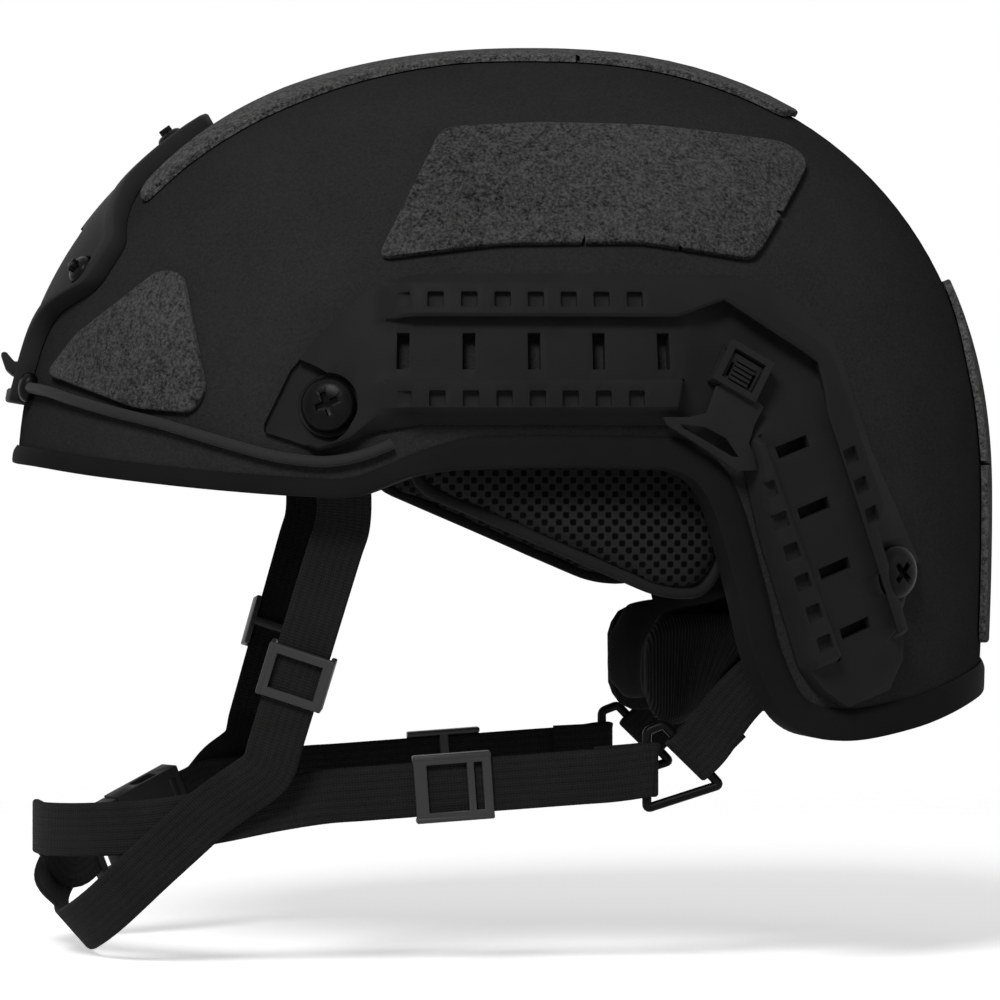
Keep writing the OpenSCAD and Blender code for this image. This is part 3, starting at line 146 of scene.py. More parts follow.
class Wall:
    """The shell's outer surface in millimetres, found from two coordinates; every piece lies on it."""

    def __init__(self, shape):
        self.half_w = shape.half_width / MM
        self.front_l = shape.front_length / MM
        self.rear_l = shape.rear_length / MM
        self.dome_h = shape.dome_height / MM
        self.bulge = shape.bulge
        self.wall = shape.wall / MM

    def level_size(self, z):
        rise = np.clip(z - WAIST_Z, 0, None) / self.dome_h
        above = np.clip(1 - rise ** self.bulge, 1e-4, None) ** (1 / self.bulge)
        return np.where(z > WAIST_Z, above, 1 - TUCK * (z - WAIST_Z) ** 2)

    def reach(self, x):
        return np.where(x < CROWN_X, self.front_l, self.rear_l)

    def share(self, value, size):
        return (np.abs(value) / size) ** self.bulge

    def left_over(self, value):
        return np.clip(value, 1e-4, None) ** (1 / self.bulge)

    def ring_at(self, bearing, z):
        bearing, z = np.broadcast_arrays(np.asarray(bearing, float), np.asarray(z, float))
        c, s = np.cos(np.radians(bearing)), np.sin(np.radians(bearing))
        along = np.where(c > 0, self.front_l, self.rear_l)
        r = self.level_size(z) / (self.share(c, along) + self.share(s, self.half_w)) ** (1 / self.bulge)
        return np.stack([CROWN_X - r * c, -r * s, z], -1)

    def side_at(self, x, z):
        x, z = np.broadcast_arrays(np.asarray(x, float), np.asarray(z, float))
        rest = self.level_size(z) ** self.bulge - self.share(x - CROWN_X, self.reach(x))
        return np.stack([x, -self.half_w * self.left_over(rest), z], -1)

    def top_at(self, x, y):
        x, y = np.broadcast_arrays(np.asarray(x, float), np.asarray(y, float))
        rest = 1 - self.share(x - CROWN_X, self.reach(x)) - self.share(y, self.half_w)
        return np.stack([x, y, WAIST_Z + self.dome_h * self.left_over(rest)], -1)

    def end_at(self, y, z, size):
        y, z = np.broadcast_arrays(np.asarray(y, float), np.asarray(z, float))
        rest = self.level_size(z) ** self.bulge - self.share(y, self.half_w)
        return np.stack([CROWN_X + size * self.left_over(rest), y, z], -1)

    def front_at(self, y, z):
        return self.end_at(y, z, -self.front_l)

    def rear_at(self, y, z):
        return self.end_at(y, z, self.rear_l)

    def outward(self, p):
        p = np.asarray(p, float)
        reach = self.reach(p[..., 0])

        def slope(value, size):
            return np.sign(value) * (np.abs(value) / size) ** (self.bulge - 1) / size

        rise = p[..., 2] - WAIST_Z
        up = np.where(rise > 0, slope(np.clip(rise, 1e-9, None), self.dome_h), 2 * TUCK * rise)
        return unit(np.stack([slope(p[..., 0] - CROWN_X, reach), slope(p[..., 1], self.half_w), up], -1))

    def dome_z(self, part):
        return WAIST_Z + part * self.dome_h

    def lay(self, p, off):
        return np.asarray(p, float) + np.asarray(off, float)[..., None] * self.outward(p)


def unit(v):
    v = np.asarray(v, float)
    return v / np.linalg.norm(v, axis=-1, keepdims=True)


def curve(points, steps):
    """Smooth curve through rows of numbers, with a number of steps between each two."""
    p = np.asarray(points, float)
    out = []
    for i in range(len(p) - 1):
        a, b, c, d = p[max(i - 1, 0)], p[i], p[i + 1], p[min(i + 2, len(p) - 1)]
        for s in range(steps):
            t = s / steps
            out.append(0.5 * (2 * b + (c - a) * t + (2 * a - 5 * b + 4 * c - d) * t * t
                              + (3 * b - a - 3 * c + d) * t ** 3))
    return np.array(out + [p[-1]])


def rounded(corners, radius, step=2.0, turns=5):
    """Outline with rounded corners, and edges split into short steps. A corner may carry its own radius."""
    points = []
    count = len(corners)
    for i in range(count):
        p = np.array(corners[i][:2], float)
        r = corners[i][2] if len(corners[i]) > 2 else radius
        a = np.array(corners[i - 1][:2], float)
        b = np.array(corners[(i + 1) % count][:2], float)
        r_next = corners[(i + 1) % count][2] if len(corners[(i + 1) % count]) > 2 else radius
        q, s = p + unit(a - p) * r, p + unit(b - p) * r
        end = b + unit(p - b) * r_next
        for k in range(turns):
            t = k / turns
            points.append((1 - t) ** 2 * q + 2 * t * (1 - t) * p + t * t * s)
        splits = max(1, int(np.linalg.norm(end - s) / step))
        points += [s + (end - s) * k / splits for k in range(splits)]
    return np.array(points)


def grid_faces(rows, count, closed=True, start=0, flip=False):
    faces = []
    for k in range(rows - 1):
        for j in range(count if closed else count - 1):
            n = (j + 1) % count
            quad = [start + k * count + j, start + (k + 1) * count + j,
                    start + (k + 1) * count + n, start + k * count + n]
            faces.append(quad[::-1] if flip else quad)
    return faces


def sheet(top, top_mid, low, low_mid):
    """Closed skin between two stacks of rings that each end in a middle point."""
    count = len(top[0])
    upper, lower = len(top), len(low)
    points = np.concatenate([np.concatenate(top), [top_mid], np.concatenate(low), [low_mid]])
    base = upper * count + 1
    faces = grid_faces(upper, count) + grid_faces(lower, count, start=base, flip=True)
    for j in range(count):
        n = (j + 1) % count
        a, b = (upper - 1) * count, base + (lower - 1) * count
        faces += [[a + j, base - 1, a + n], [b + j, b + n, base + lower * count], [base + j, j, n, base + n]]
    return points, faces


def loft(rings, closed=False):
    """Skin through a row of rings, capped at both ends or joined into a loop."""
    rings = np.asarray(rings, float)
    rows, count = rings.shape[:2]
    faces = grid_faces(rows, count)
    if closed:
        last = (rows - 1) * count
        for j in range(count):
            n = (j + 1) % count
            faces.append([last + j, j, n, last + n])
    else:
        faces += [list(range(count)), list(range((rows - 1) * count, rows * count))[::-1]]
    return rings.reshape(-1, 3), faces


def on_wall(wall, p, turn=0.0, off=0.0):
    """Origin and three axes on the wall: level, up the wall and outward, turned about the last."""
    n = wall.outward(p)
    level = unit(np.cross([0, 0, 1], n))
    up = np.cross(n, level)
    c, s = math.cos(math.radians(turn)), math.sin(math.radians(turn))
    return p + off * n, c * level + s * up, -s * level + c * up, n


# Meshes


def smooth_by_angle(mesh, degrees):
    b = bmesh.new()
    b.from_mesh(mesh)
    for face in b.faces:
        face.smooth = True
    for edge in b.edges:
        edge.smooth = len(edge.link_faces) != 2 or edge.calc_face_angle(0) < math.radians(degrees)
    b.to_mesh(mesh)
    b.free()


def new_piece(name, points, faces, material, degrees=35, uv=None):
    """Object from points in millimetres, its faces turned outward, with an optional map per point."""
    mesh = bpy.data.meshes.new(name)
    mesh.from_pydata((np.asarray(points, float) * MM).tolist(), [], [list(map(int, f)) for f in faces])
    b = bmesh.new()
    b.from_mesh(mesh)
    bmesh.ops.recalc_face_normals(b, faces=b.faces)
    b.to_mesh(mesh)
    b.free()
    if uv is not None:
        set_map(mesh, uv)
    mesh.materials.append(material)
    smooth_by_angle(mesh, degrees)
    piece = bpy.data.objects.new(name, mesh)
    bpy.context.scene.collection.objects.link(piece)
    return piece


def set_map(mesh, uv):
    layer = mesh.uv_layers.get("pattern") or mesh.uv_layers.new(name="pattern")
    corners = np.zeros(len(mesh.loops), int)
    mesh.loops.foreach_get("vertex_index", corners)
    layer.data.foreach_set("uv", np.asarray(uv, float)[corners].ravel())


def points_of(mesh):
    co = np.zeros(len(mesh.vertices) * 3)
    mesh.vertices.foreach_get("co", co)
    return co.reshape(-1, 3)


def other_side(piece, name):
    """Mirror image of a piece across the middle plane."""
    mesh = piece.data.copy()
    co = points_of(mesh)
    co[:, 1] *= -1
    mesh.vertices.foreach_set("co", co.ravel())
    mesh.flip_normals()
    mesh.update()
    twin = bpy.data.objects.new(name, mesh)
    bpy.context.scene.collection.objects.link(twin)
    return twin


def finish_piece(piece, body, slot, *nodes):
    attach(piece, body)
    if nodes:
        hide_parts(*nodes)


def both(piece, name, body, slot, node):
    """Finishes a left piece and its mirror image, whose names end in the side."""
    finish_piece(piece, body, slot, node + "_left")
    finish_piece(other_side(piece, name + "_right"), body, slot, node + "_right")


def applied(piece):
    """Turns the piece's modifiers into plain mesh."""
    graph = bpy.context.evaluated_depsgraph_get()
    mesh = bpy.data.meshes.new_from_object(piece.evaluated_get(graph))
    piece.modifiers.clear()
    piece.data = mesh


def bevelled(piece, width, degrees=35, segments=2):
    """Rounds the sharp edges of a piece."""
    bevel = piece.modifiers.new("edges", "BEVEL")
    bevel.width = width * MM
    bevel.segments = segments
    bevel.limit_method = "ANGLE"
    bevel.angle_limit = math.radians(degrees)
    bevel.use_clamp_overlap = True
    applied(piece)
    smooth_by_angle(piece.data, 50)
    return piece


def softened(node, material, width, slot):
    """A copy of a CAD node with its flat faces joined and its edges rounded, in the node's place."""
    source = frame["nodes"][node]
    mesh = source.data.copy()
    b = bmesh.new()
    b.from_mesh(mesh)
    bmesh.ops.remove_doubles(b, verts=b.verts, dist=2e-6)
    bmesh.ops.dissolve_limit(b, angle_limit=math.radians(1.5), verts=b.verts, edges=b.edges)
    bmesh.ops.recalc_face_normals(b, faces=b.faces)
    b.to_mesh(mesh)
    b.free()
    mesh.materials.clear()
    mesh.materials.append(material)
    piece = bpy.data.objects.new("shaped_" + node, mesh)
    bpy.context.scene.collection.objects.link(piece)
    bevelled(piece, width)
    finish_piece(piece, source["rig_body"], slot, node)


# Geometry nodes


def open_tree(name, sockets):
    tree = bpy.data.node_groups.new(name, "GeometryNodeTree")
    tree.interface.new_socket("Geometry", in_out="INPUT", socket_type="NodeSocketGeometry")
    for label, kind, default in sockets:
        socket = tree.interface.new_socket(label, in_out="INPUT", socket_type="NodeSocket" + kind)
        if default is not None:
            socket.default_value = default
    tree.interface.new_socket("Geometry", in_out="OUTPUT", socket_type="NodeSocketGeometry")
    return tree, tree.nodes.new("NodeGroupInput"), tree.nodes.new("NodeGroupOutput")


def facing_rotation(tree):
    """Turns +Z along the points' attribute facing and +X along their attribute along."""
    turn = None
    for name, axis in (("facing", "Z"), ("along", "X")):
        read = tree.nodes.new("GeometryNodeInputNamedAttribute")
        read.data_type = "FLOAT_VECTOR"
        read.inputs["Name"].default_value = name
        align = tree.nodes.new("FunctionNodeAlignRotationToVector")
        align.axis = axis
        if turn:
            align.pivot_axis = "Z"
            tree.links.new(turn.outputs["Rotation"], align.inputs["Rotation"])
        tree.links.new(read.outputs["Attribute"], align.inputs["Vector"])
        turn = align
    return turn.outputs["Rotation"]


def cutting_tree():
    """Cuts a copy of the cutter out of the piece at each place."""
    tree, start, end = open_tree("cut_at_places", [("Places", "Object", None), ("Cutter", "Object", None),
                                                   ("Finish", "Material", None)])
    link = tree.links.new
    places, cutter = tree.nodes.new("GeometryNodeObjectInfo"), tree.nodes.new("GeometryNodeObjectInfo")
    link(start.outputs["Places"], places.inputs["Object"])
    link(start.outputs["Cutter"], cutter.inputs["Object"])
    spread = tree.nodes.new("GeometryNodeInstanceOnPoints")
    link(places.outputs["Geometry"], spread.inputs["Points"])
    link(cutter.outputs["Geometry"], spread.inputs["Instance"])
    link(facing_rotation(tree), spread.inputs["Rotation"])
    real = tree.nodes.new("GeometryNodeRealizeInstances")
    link(spread.outputs["Instances"], real.inputs["Geometry"])
    cut = tree.nodes.new("GeometryNodeMeshBoolean")
    cut.operation = "DIFFERENCE"
    link(start.outputs["Geometry"], cut.inputs["Mesh 1"])
    link(real.outputs["Geometry"], cut.inputs["Mesh 2"])
    paint = tree.nodes.new("GeometryNodeSetMaterial")
    link(cut.outputs["Mesh"], paint.inputs["Geometry"])
    link(start.outputs["Finish"], paint.inputs["Material"])
    link(paint.outputs["Geometry"], end.inputs["Geometry"])
    return tree


def repeating_tree():
    """Puts a copy of the item at each point of the piece."""
    tree, start, end = open_tree("item_at_points", [("Item", "Object", None), ("Size", "Float", 1.0),
                                                    ("Finish", "Material", None)])
    link = tree.links.new
    item = tree.nodes.new("GeometryNodeObjectInfo")
    link(start.outputs["Item"], item.inputs["Object"])
    spread = tree.nodes.new("GeometryNodeInstanceOnPoints")
    link(start.outputs["Geometry"], spread.inputs["Points"])
    link(item.outputs["Geometry"], spread.inputs["Instance"])
    link(facing_rotation(tree), spread.inputs["Rotation"])
    link(start.outputs["Size"], spread.inputs["Scale"])
    real = tree.nodes.new("GeometryNodeRealizeInstances")
    link(spread.outputs["Instances"], real.inputs["Geometry"])
    paint = tree.nodes.new("GeometryNodeSetMaterial")
    link(real.outputs["Geometry"], paint.inputs["Geometry"])
    link(start.outputs["Finish"], paint.inputs["Material"])
    link(paint.outputs["Geometry"], end.inputs["Geometry"])
    return tree


def shared_tree(make):
    name = {cutting_tree: "cut_at_places", repeating_tree: "item_at_points"}[make]
    return bpy.data.node_groups.get(name) or make()


def run_tree(piece, tree, **values):
    """Runs a tree on a piece and keeps the plain mesh."""
    modifier = piece.modifiers.new(tree.name, "NODES")
    modifier.node_group = tree
    for item in tree.interface.items_tree:
        if item.item_type == "SOCKET" and item.in_out == "INPUT" and item.name in values:
            modifier[item.identifier] = values[item.name]
    applied(piece)


def place_points(name, places):
    """Points in millimetres with the directions that an item placed there faces and runs along."""
    mesh = bpy.data.meshes.new(name)
    mesh.from_pydata([(np.asarray(p[0]) * MM).tolist() for p in places], [], [])
    for label, index in (("facing", 3), ("along", 1)):
        attribute = mesh.attributes.new(label, "FLOAT_VECTOR", "POINT")
        attribute.data.foreach_set("vector", np.array([p[index] for p in places], float).ravel())
    piece = bpy.data.objects.new(name, mesh)
    bpy.context.scene.collection.objects.link(piece)
    return piece


def cut_at(piece, places, cutter, material):
    points = place_points("places", places)
    run_tree(piece, shared_tree(cutting_tree), Places=points, Cutter=cutter, Finish=material)
    for helper in (points, cutter):
        bpy.data.objects.remove(helper)


def repeat_at(name, places, item, material, size=1.0):
    piece = place_points(name, places)
    run_tree(piece, shared_tree(repeating_tree), Item=item, Size=size, Finish=material)
    bpy.data.objects.remove(item)
    return piece


# Finishes

# Periods of the cloths' patterns, in metres
KNOT_LENGTH, KNOT_WIDTH, WEB_RIB_PITCH = 0.00085, 0.0007, 0.0021
CLOTH_RIB_PITCH, STRAND_LENGTH, STRANDS_ROUND = 0.0011, 0.0007, 12


class Finish:
    """A material under construction: nodes are added and joined by short calls."""

    def __init__(self, name, base, roughness, specular=0.5, metallic=0.0):
        self.material = bpy.data.materials.new(name)
        self.material.use_nodes = True
        self.nodes = self.material.node_tree.nodes
        self.link = self.material.node_tree.links.new
        self.surface = self.nodes["Principled BSDF"]
        self.surface.inputs["Base Color"].default_value = (*base, 1)
        self.surface.inputs["Roughness"].default_value = roughness
        self.surface.inputs["Specular IOR Level"].default_value = specular
        self.surface.inputs["Metallic"].default_value = metallic
        self.material.diffuse_color = (*base, 1)
        self.base = base
        self.place = None

    def object_place(self):
        if self.place is None:
            self.place = self.nodes.new("ShaderNodeTexCoord")
        return self.place.outputs["Object"]

    def map_place(self):
        node = self.nodes.new("ShaderNodeUVMap")
        node.uv_map = "pattern"
        return node.outputs["UV"]

    def noise(self, scale, detail=2.0, rough=0.5, place=None):
        node = self.nodes.new("ShaderNodeTexNoise")
        node.inputs["Scale"].default_value = scale
        node.inputs["Detail"].default_value = detail
        node.inputs["Roughness"].default_value = rough
        self.link(place or self.object_place(), node.inputs["Vector"])
        return node.outputs["Fac"]

    def math(self, operation, a, b=None, c=None):
        node = self.nodes.new("ShaderNodeMath")
        node.operation = operation
        for socket, value in zip(node.inputs, (a, b, c)):
            if value is None:
                continue
            if isinstance(value, (int, float)):
                socket.default_value = value
            else:
                self.link(value, socket)
        return node.outputs[0]

    def spread(self, value, low, high, to_low=0.0, to_high=1.0):
        node = self.nodes.new("ShaderNodeMapRange")
        self.link(value, node.inputs["Value"])
        numbers = (("From Min", low), ("From Max", high), ("To Min", to_low), ("To Max", to_high))
        for name, number in numbers:
            node.inputs[name].default_value = number
        return node.outputs["Result"]

    def weighted(self, a, part_a, b, part_b):
        return self.math("ADD", self.math("MULTIPLY", a, part_a), self.math("MULTIPLY", b, part_b))

    def wave(self, value, period):
        return self.math("COSINE", self.math("MULTIPLY", value, 2 * math.pi / period))

    def crossings(self, u, v):
        """Product of two waves that cross each other diagonally."""
        return self.math("MULTIPLY", self.math("SINE", self.math("ADD", u, v)),
                         self.math("SINE", self.math("SUBTRACT", u, v)))

    def sheen(self, weight):
        self.surface.inputs["Sheen Weight"].default_value = weight

    def tint(self, factor, dark, light):
        """Colour that runs from the base times one number to the base times another."""
        node = self.nodes.new("ShaderNodeMix")
        node.data_type = "RGBA"
        node.inputs["A"].default_value = (*[c * dark for c in self.base], 1)
        node.inputs["B"].default_value = (*[c * light for c in self.base], 1)
        self.link(factor, node.inputs["Factor"])
        self.link(node.outputs["Result"], self.surface.inputs["Base Color"])

    def rough(self, value, low, high):
        self.link(self.spread(value, 0, 1, low, high), self.surface.inputs["Roughness"])

    def bump(self, height, distance, strength=1.0, under=None):
        node = self.nodes.new("ShaderNodeBump")
        node.inputs["Strength"].default_value = strength
        node.inputs["Distance"].default_value = distance
        self.link(height, node.inputs["Height"])
        if under:
            self.link(under, node.inputs["Normal"])
        self.link(node.outputs["Normal"], self.surface.inputs["Normal"])
        return node.outputs["Normal"]

    def split(self, vector):
        node = self.nodes.new("ShaderNodeSeparateXYZ")
        self.link(vector, node.inputs[0])
        return node.outputs[0], node.outputs[1], node.outputs[2]


def sand_paint(base):
    f = Finish("sand_grained_paint", base, 0.62, 0.0)
    grain, broad = f.noise(1300, 3, 0.65), f.noise(38, 4, 0.62)
    specks = f.spread(grain, 0.28, 0.72)
    f.tint(f.weighted(broad, 0.45, specks, 0.55), 0.55, 1.45)
    f.rough(grain, 0.54, 0.72)
    f.bump(grain, 0.0004, 0.8, f.bump(broad, 0.0006, 0.25))
    return f.material


def moulded_rubber(base):
    f = Finish("moulded_rubber", base, 0.7, 0.01)
    grain, broad = f.noise(1900, 2), f.noise(60, 3)
    f.tint(broad, 0.8, 1.2)
    f.rough(grain, 0.62, 0.8)
    f.bump(grain, 0.0001, 0.3)
    return f.material


def fine_plastic(name, base, roughness=0.5, specular=0.03):
    f = Finish(name, base, roughness, specular)
    grain, broad = f.noise(2600, 2), f.noise(75, 3)
    f.tint(broad, 0.82, 1.18)
    f.rough(grain, roughness - 0.07, roughness + 0.1)
    f.bump(grain, 0.00006, 0.35)
    return f.material


def coated_alloy(base):
    f = Finish("coated_alloy", base, 0.5, 0.01)
    grain, broad = f.noise(2200, 3), f.noise(55, 3)
    f.tint(broad, 0.82, 1.2)
    f.rough(grain, 0.42, 0.62)
    f.bump(grain, 0.00007, 0.4)
    return f.material


def blackened_steel(base):
    f = Finish("blackened_steel", base, 0.2, 0.06)
    grain, wear = f.noise(1800, 3), f.noise(300, 4)
    f.tint(f.spread(wear, 0.35, 0.7), 0.8, 1.6)
    f.rough(grain, 0.22, 0.42)
    f.bump(grain, 0.00003, 0.25)
    return f.material


def plain_steel():
    f = Finish("turned_steel", (0.3, 0.3, 0.29), 0.35, 0.5, 1.0)
    grain = f.noise(900, 3)
    f.tint(grain, 0.75, 1.15)
    f.rough(grain, 0.28, 0.45)
    return f.material


def loop_pile(name, base):
    f = Finish(name, base, 0.95, 0.0)
    f.sheen(0.05)
    f.surface.inputs["Sheen Roughness"].default_value = 0.5
    loops, tufts, broad = f.noise(1150, 3, 0.7), f.noise(420, 3, 0.6), f.noise(30, 2)
    mixed = f.weighted(loops, 0.7, tufts, 0.3)
    drift = f.math("MULTIPLY", f.math("SUBTRACT", broad, 0.5), 0.5)
    shade = f.math("ADD", f.spread(mixed, 0.36, 0.64), drift)
    f.tint(shade, 0.2, 2.0)
    f.bump(mixed, 0.0015, 0.95)
    return f.material


def woven_webbing(base):
    """Weave with raised lengthwise ribs, on the strip's own map in metres along and across."""
    f = Finish("woven_webbing", base, 0.82, 0.02)
    f.sheen(0.03)
    along, across, _ = f.split(f.map_place())
    knots = f.crossings(f.math("MULTIPLY", along, math.pi / KNOT_LENGTH),
                        f.math("MULTIPLY", across, math.pi / KNOT_WIDTH))
    ribs = f.wave(across, WEB_RIB_PITCH)
    fuzz, broad = f.noise(2400, 2), f.noise(90, 3)
    weave = f.weighted(knots, 0.5, ribs, 0.22)
    shade = f.math("ADD", f.math("MULTIPLY", weave, 0.35), f.weighted(fuzz, 0.5, broad, 0.5))
    f.tint(f.spread(shade, 0.1, 0.95), 0.55, 1.6)
    f.bump(f.math("ADD", weave, f.math("MULTIPLY", fuzz, 0.3)), 0.00022, 0.85)
    return f.material


def spacer_mesh(base, pitch):
    """Knitted mesh with staggered holes, on the piece's own map in metres."""
    f = Finish("spacer_mesh", base, 0.85, 0.02)
    f.sheen(0.03)
    u, v, _ = f.split(f.map_place())
    holes = f.spread(f.math("MULTIPLY", f.wave(u, 2 * pitch), f.wave(v, 2 * pitch)), 0.1, 0.36)
    solid = f.math("SUBTRACT", 1.0, holes)
    fuzz = f.noise(2000, 2)
    f.tint(f.math("MULTIPLY", solid, f.spread(fuzz, 0.2, 0.8, 0.7, 1.0)), 0.1, 1.9)
    f.bump(f.math("ADD", solid, f.math("MULTIPLY", fuzz, 0.15)), 0.0006, 0.9)
    return f.material


def plain_knit(base):
    f = Finish("plain_knit", base, 0.9, 0.02)
    f.sheen(0.04)
    fuzz, broad = f.noise(2200, 3), f.noise(120, 3)
    f.tint(f.weighted(fuzz, 0.6, broad, 0.4), 0.6, 1.4)
    f.bump(fuzz, 0.0003, 0.6)
    return f.material


def ribbed_cloth(base):
    """Corded cloth whose ribs run along the map's second direction."""
    f = Finish("ribbed_cloth", base, 0.9, 0.05)
    along, _, _ = f.split(f.map_place())
    ribs = f.wave(along, CLOTH_RIB_PITCH)
    fuzz = f.noise(2200, 3)
    f.tint(f.spread(f.math("ADD", ribs, fuzz), -0.6, 1.6), 0.4, 1.5)
    f.bump(f.math("ADD", ribs, f.math("MULTIPLY", fuzz, 0.3)), 0.0004, 0.9)
    return f.material


def braided_cord(base):
    f = Finish("braided_cord", base, 0.7, 0.05)
    f.sheen(0.05)
    along, round_, _ = f.split(f.map_place())
    strands = f.crossings(f.math("MULTIPLY", along, math.pi / STRAND_LENGTH),
                          f.math("MULTIPLY", round_, math.pi * STRANDS_ROUND))
    f.tint(f.spread(strands, -0.8, 0.8), 0.88, 1.08)
    f.bump(strands, 0.00005, 0.6)
    return f.material


def hook_tape(base):
    f = Finish("hook_tape", base, 0.7, 0.3)
    hooks = f.noise(900, 2)
    f.tint(f.spread(hooks, 0.35, 0.65), 0.5, 1.7)
    f.bump(hooks, 0.0008, 0.8)
    return f.material


def finishes():
    """Materials of the helmet, made once."""
    if bpy.data.materials.get("sand_grained_paint") is None:
        tone, fabric = bpy.context.scene.helmet_colours, bpy.context.scene.helmet_fabric
        sand_paint(tone.shell)
        moulded_rubber(tone.trim)
        coated_alloy(tone.mount)
        fine_plastic("rail_plastic", tone.rail)
        fine_plastic("catch_plastic", [c * 1.15 for c in tone.rail], 0.46)
        fine_plastic("slider_plastic", tone.slider, 0.42, 0.2)
        fine_plastic("cradle_plastic", [c * 0.8 for c in tone.rail], 0.55)
        fine_plastic("gear_plastic", (0.19, 0.19, 0.18), 0.45)
        blackened_steel(tone.steel)
        plain_steel()
        loop_pile("loop_pile", tone.patch)
        # Paler copy of the same pile: painted light for the crown and rear patches
        loop_pile("pale_loop_pile", tone.lit_patch)
        woven_webbing(tone.webbing)
        spacer_mesh(tone.pad, fabric.mesh_pitch)
        plain_knit([c * 1.4 for c in tone.pad])
        ribbed_cloth([c * 1.4 for c in tone.pad])
        braided_cord(tone.cord)
        hook_tape(tone.pad)
    return bpy.data.materials


# Shell and trim

# Lower edge of one side, as bearing from the brow and height
EDGE = [(0, 2.3), (14, 1.3), (28, -1.66), (42, -4.74), (53, -6.5), (60, -6.5), (68, -0.9), (78, 1.1),
        (98, 1.1), (106, -0.5), (110.5, -9.274), (114.5, -32.986), (117.5, -52.993), (122.5, -68.554),
        (130.5, -73), (142.5, -70.6), (160.5, -64), (180, -61)]
EDGE_STEPS, SHELL_ROWS = 9, 44
# The rubber: thickness, ease to the wall, inner leg, tip, length of the lip's taper, radius of its corners
TRIM_T, TRIM_EASE, TRIM_INNER, TRIM_TIP, TRIM_TAPER, TRIM_ROUND = 1.65, 0.15, 3, 0.45, 1.7, 1.3
# The lip on the wall at the brow, and how it grows over a stretch of bearings behind it
LIP_BROW, LIP_GROWTH, LIP_FROM, LIP_OVER = 3.5, 3.5, 66, 10


def edge_loop(steps):
    half = curve(EDGE, steps)
    back = half[-2:0:-1] * [-1, 1]
    return np.concatenate([half, back])


def dome_ring(wall, edge, off, share):
    rise = edge[:, 1] - WAIST_Z
    angle = np.where(rise > 0, np.arcsin(np.clip(rise / wall.dome_h, -1, 1)), rise / wall.dome_h)
    angle = angle + (math.pi / 2 - angle) * share
    z = WAIST_Z + wall.dome_h * np.where(angle > 0, np.sin(angle), angle)
    return wall.lay(wall.ring_at(edge[:, 0], z), np.full(len(edge), off))


def trim_lip(bearing):
    return LIP_BROW + LIP_GROWTH * np.clip((np.abs(bearing) - LIP_FROM) / LIP_OVER, 0, 1)


def soft_corners(corners, radius):
    points = []
    for i, p in enumerate(corners):
        a, b = corners[i - 1], corners[(i + 1) % len(corners)]
        r = min(radius, np.linalg.norm(a - p) * 0.45, np.linalg.norm(b - p) * 0.45)
        q, s = p + unit(a - p) * r, p + unit(b - p) * r
        points += [q, (q + 2 * p + s) / 4, s]
    return points


class HELMET_OT_shell(bpy.types.Operator):
    """Laminate shell with the high ear cut, and the rubber round its edge"""
    bl_idname = "helmet.shell"
    bl_label = "Shell and Edge Trim"

    def execute(self, context):
        wall = Wall(context.scene.helmet_shape)
        paint = finishes()
        edge = edge_loop(EDGE_STEPS)
        crown = wall.top_at(CROWN_X, 0)
        shares = [k / SHELL_ROWS for k in range(SHELL_ROWS)]
        points, faces = sheet([dome_ring(wall, edge, 0, s) for s in shares], crown,
                              [dome_ring(wall, edge, -wall.wall, s) for s in shares],
                              wall.lay(crown, -wall.wall))
        shell = new_piece("helmet_shell", points, faces, paint["sand_grained_paint"])
        finish_piece(shell, "helmet", "shell", "shell")

        base = wall.ring_at(edge[:, 0], edge[:, 1])
        out = wall.outward(base)
        run = np.roll(base, -1, 0) - np.roll(base, 1, 0)
        up = unit(np.cross(out, run))
        rings = []
        far, ease, w = TRIM_T, TRIM_EASE, wall.wall
        for i in range(len(edge)):
            lip = trim_lip(edge[i, 0])
            corners = [np.array(c, float) for c in (
                (-far, -w - far), (TRIM_INNER, -w - far), (TRIM_INNER, -w - ease), (-ease, -w - ease),
                (-ease, ease), (lip, ease), (lip, TRIM_TIP), (lip - TRIM_TAPER, 0.9 * far), (0, far),
                (-far, far))]
            rings.append([base[i] + c[0] * up[i] + c[1] * out[i] for c in soft_corners(corners, TRIM_ROUND)])
        trim = new_piece("rubber_trim", *loft(rings, closed=True), paint["moulded_rubber"], 50)
        finish_piece(trim, "helmet", "trim", "edge_trim")
        return {"FINISHED"}


# Pieces on the wall


def wall_skin(wall, outline, place, profile, low, rows=10):
    """Skin on the wall. The profile lists distance inward and height, from the foot of its edge up."""
    mid = outline.mean(0)
    inward = unit(mid - outline)
    dist = np.linalg.norm(mid - outline, axis=1, keepdims=True)

    def ring(inset, high):
        q = outline + inward * np.minimum(inset, dist * 0.9)
        return wall.lay(place(q[:, 0], q[:, 1]), np.full(len(q), high))

    top = [ring(inset, high) for inset, high in profile]
    inset, high = profile[-1]
    start = outline + inward * np.minimum(inset, dist * 0.9)
    for k in range(1, rows):
        q = start + (mid - start) * k / rows
        top.append(wall.lay(place(q[:, 0], q[:, 1]), np.full(len(q), high)))
    under = [ring(0, low)]
    for k in range(1, 4):
        q = outline + (mid - outline) * k / 4
        under.append(wall.lay(place(q[:, 0], q[:, 1]), np.full(len(q), low)))
    centre = place(mid[0], mid[1])
    return sheet(top, wall.lay(centre, high), under, wall.lay(centre, low))


def notched(outline, notches):
    """Outline with narrow cuts that run from its edge to the points given."""
    points = outline
    for x, y, width in notches:
        tip = np.array([x, y], float)
        near = int(np.argmin(np.linalg.norm(points - tip, axis=1)))
        p = points[near]
        side = unit(points[(near + 1) % len(points)] - points[near - 1]) * width / 2
        points = np.concatenate([points[:near], [p - side, tip, p + side], points[near + 1:]])
    return points


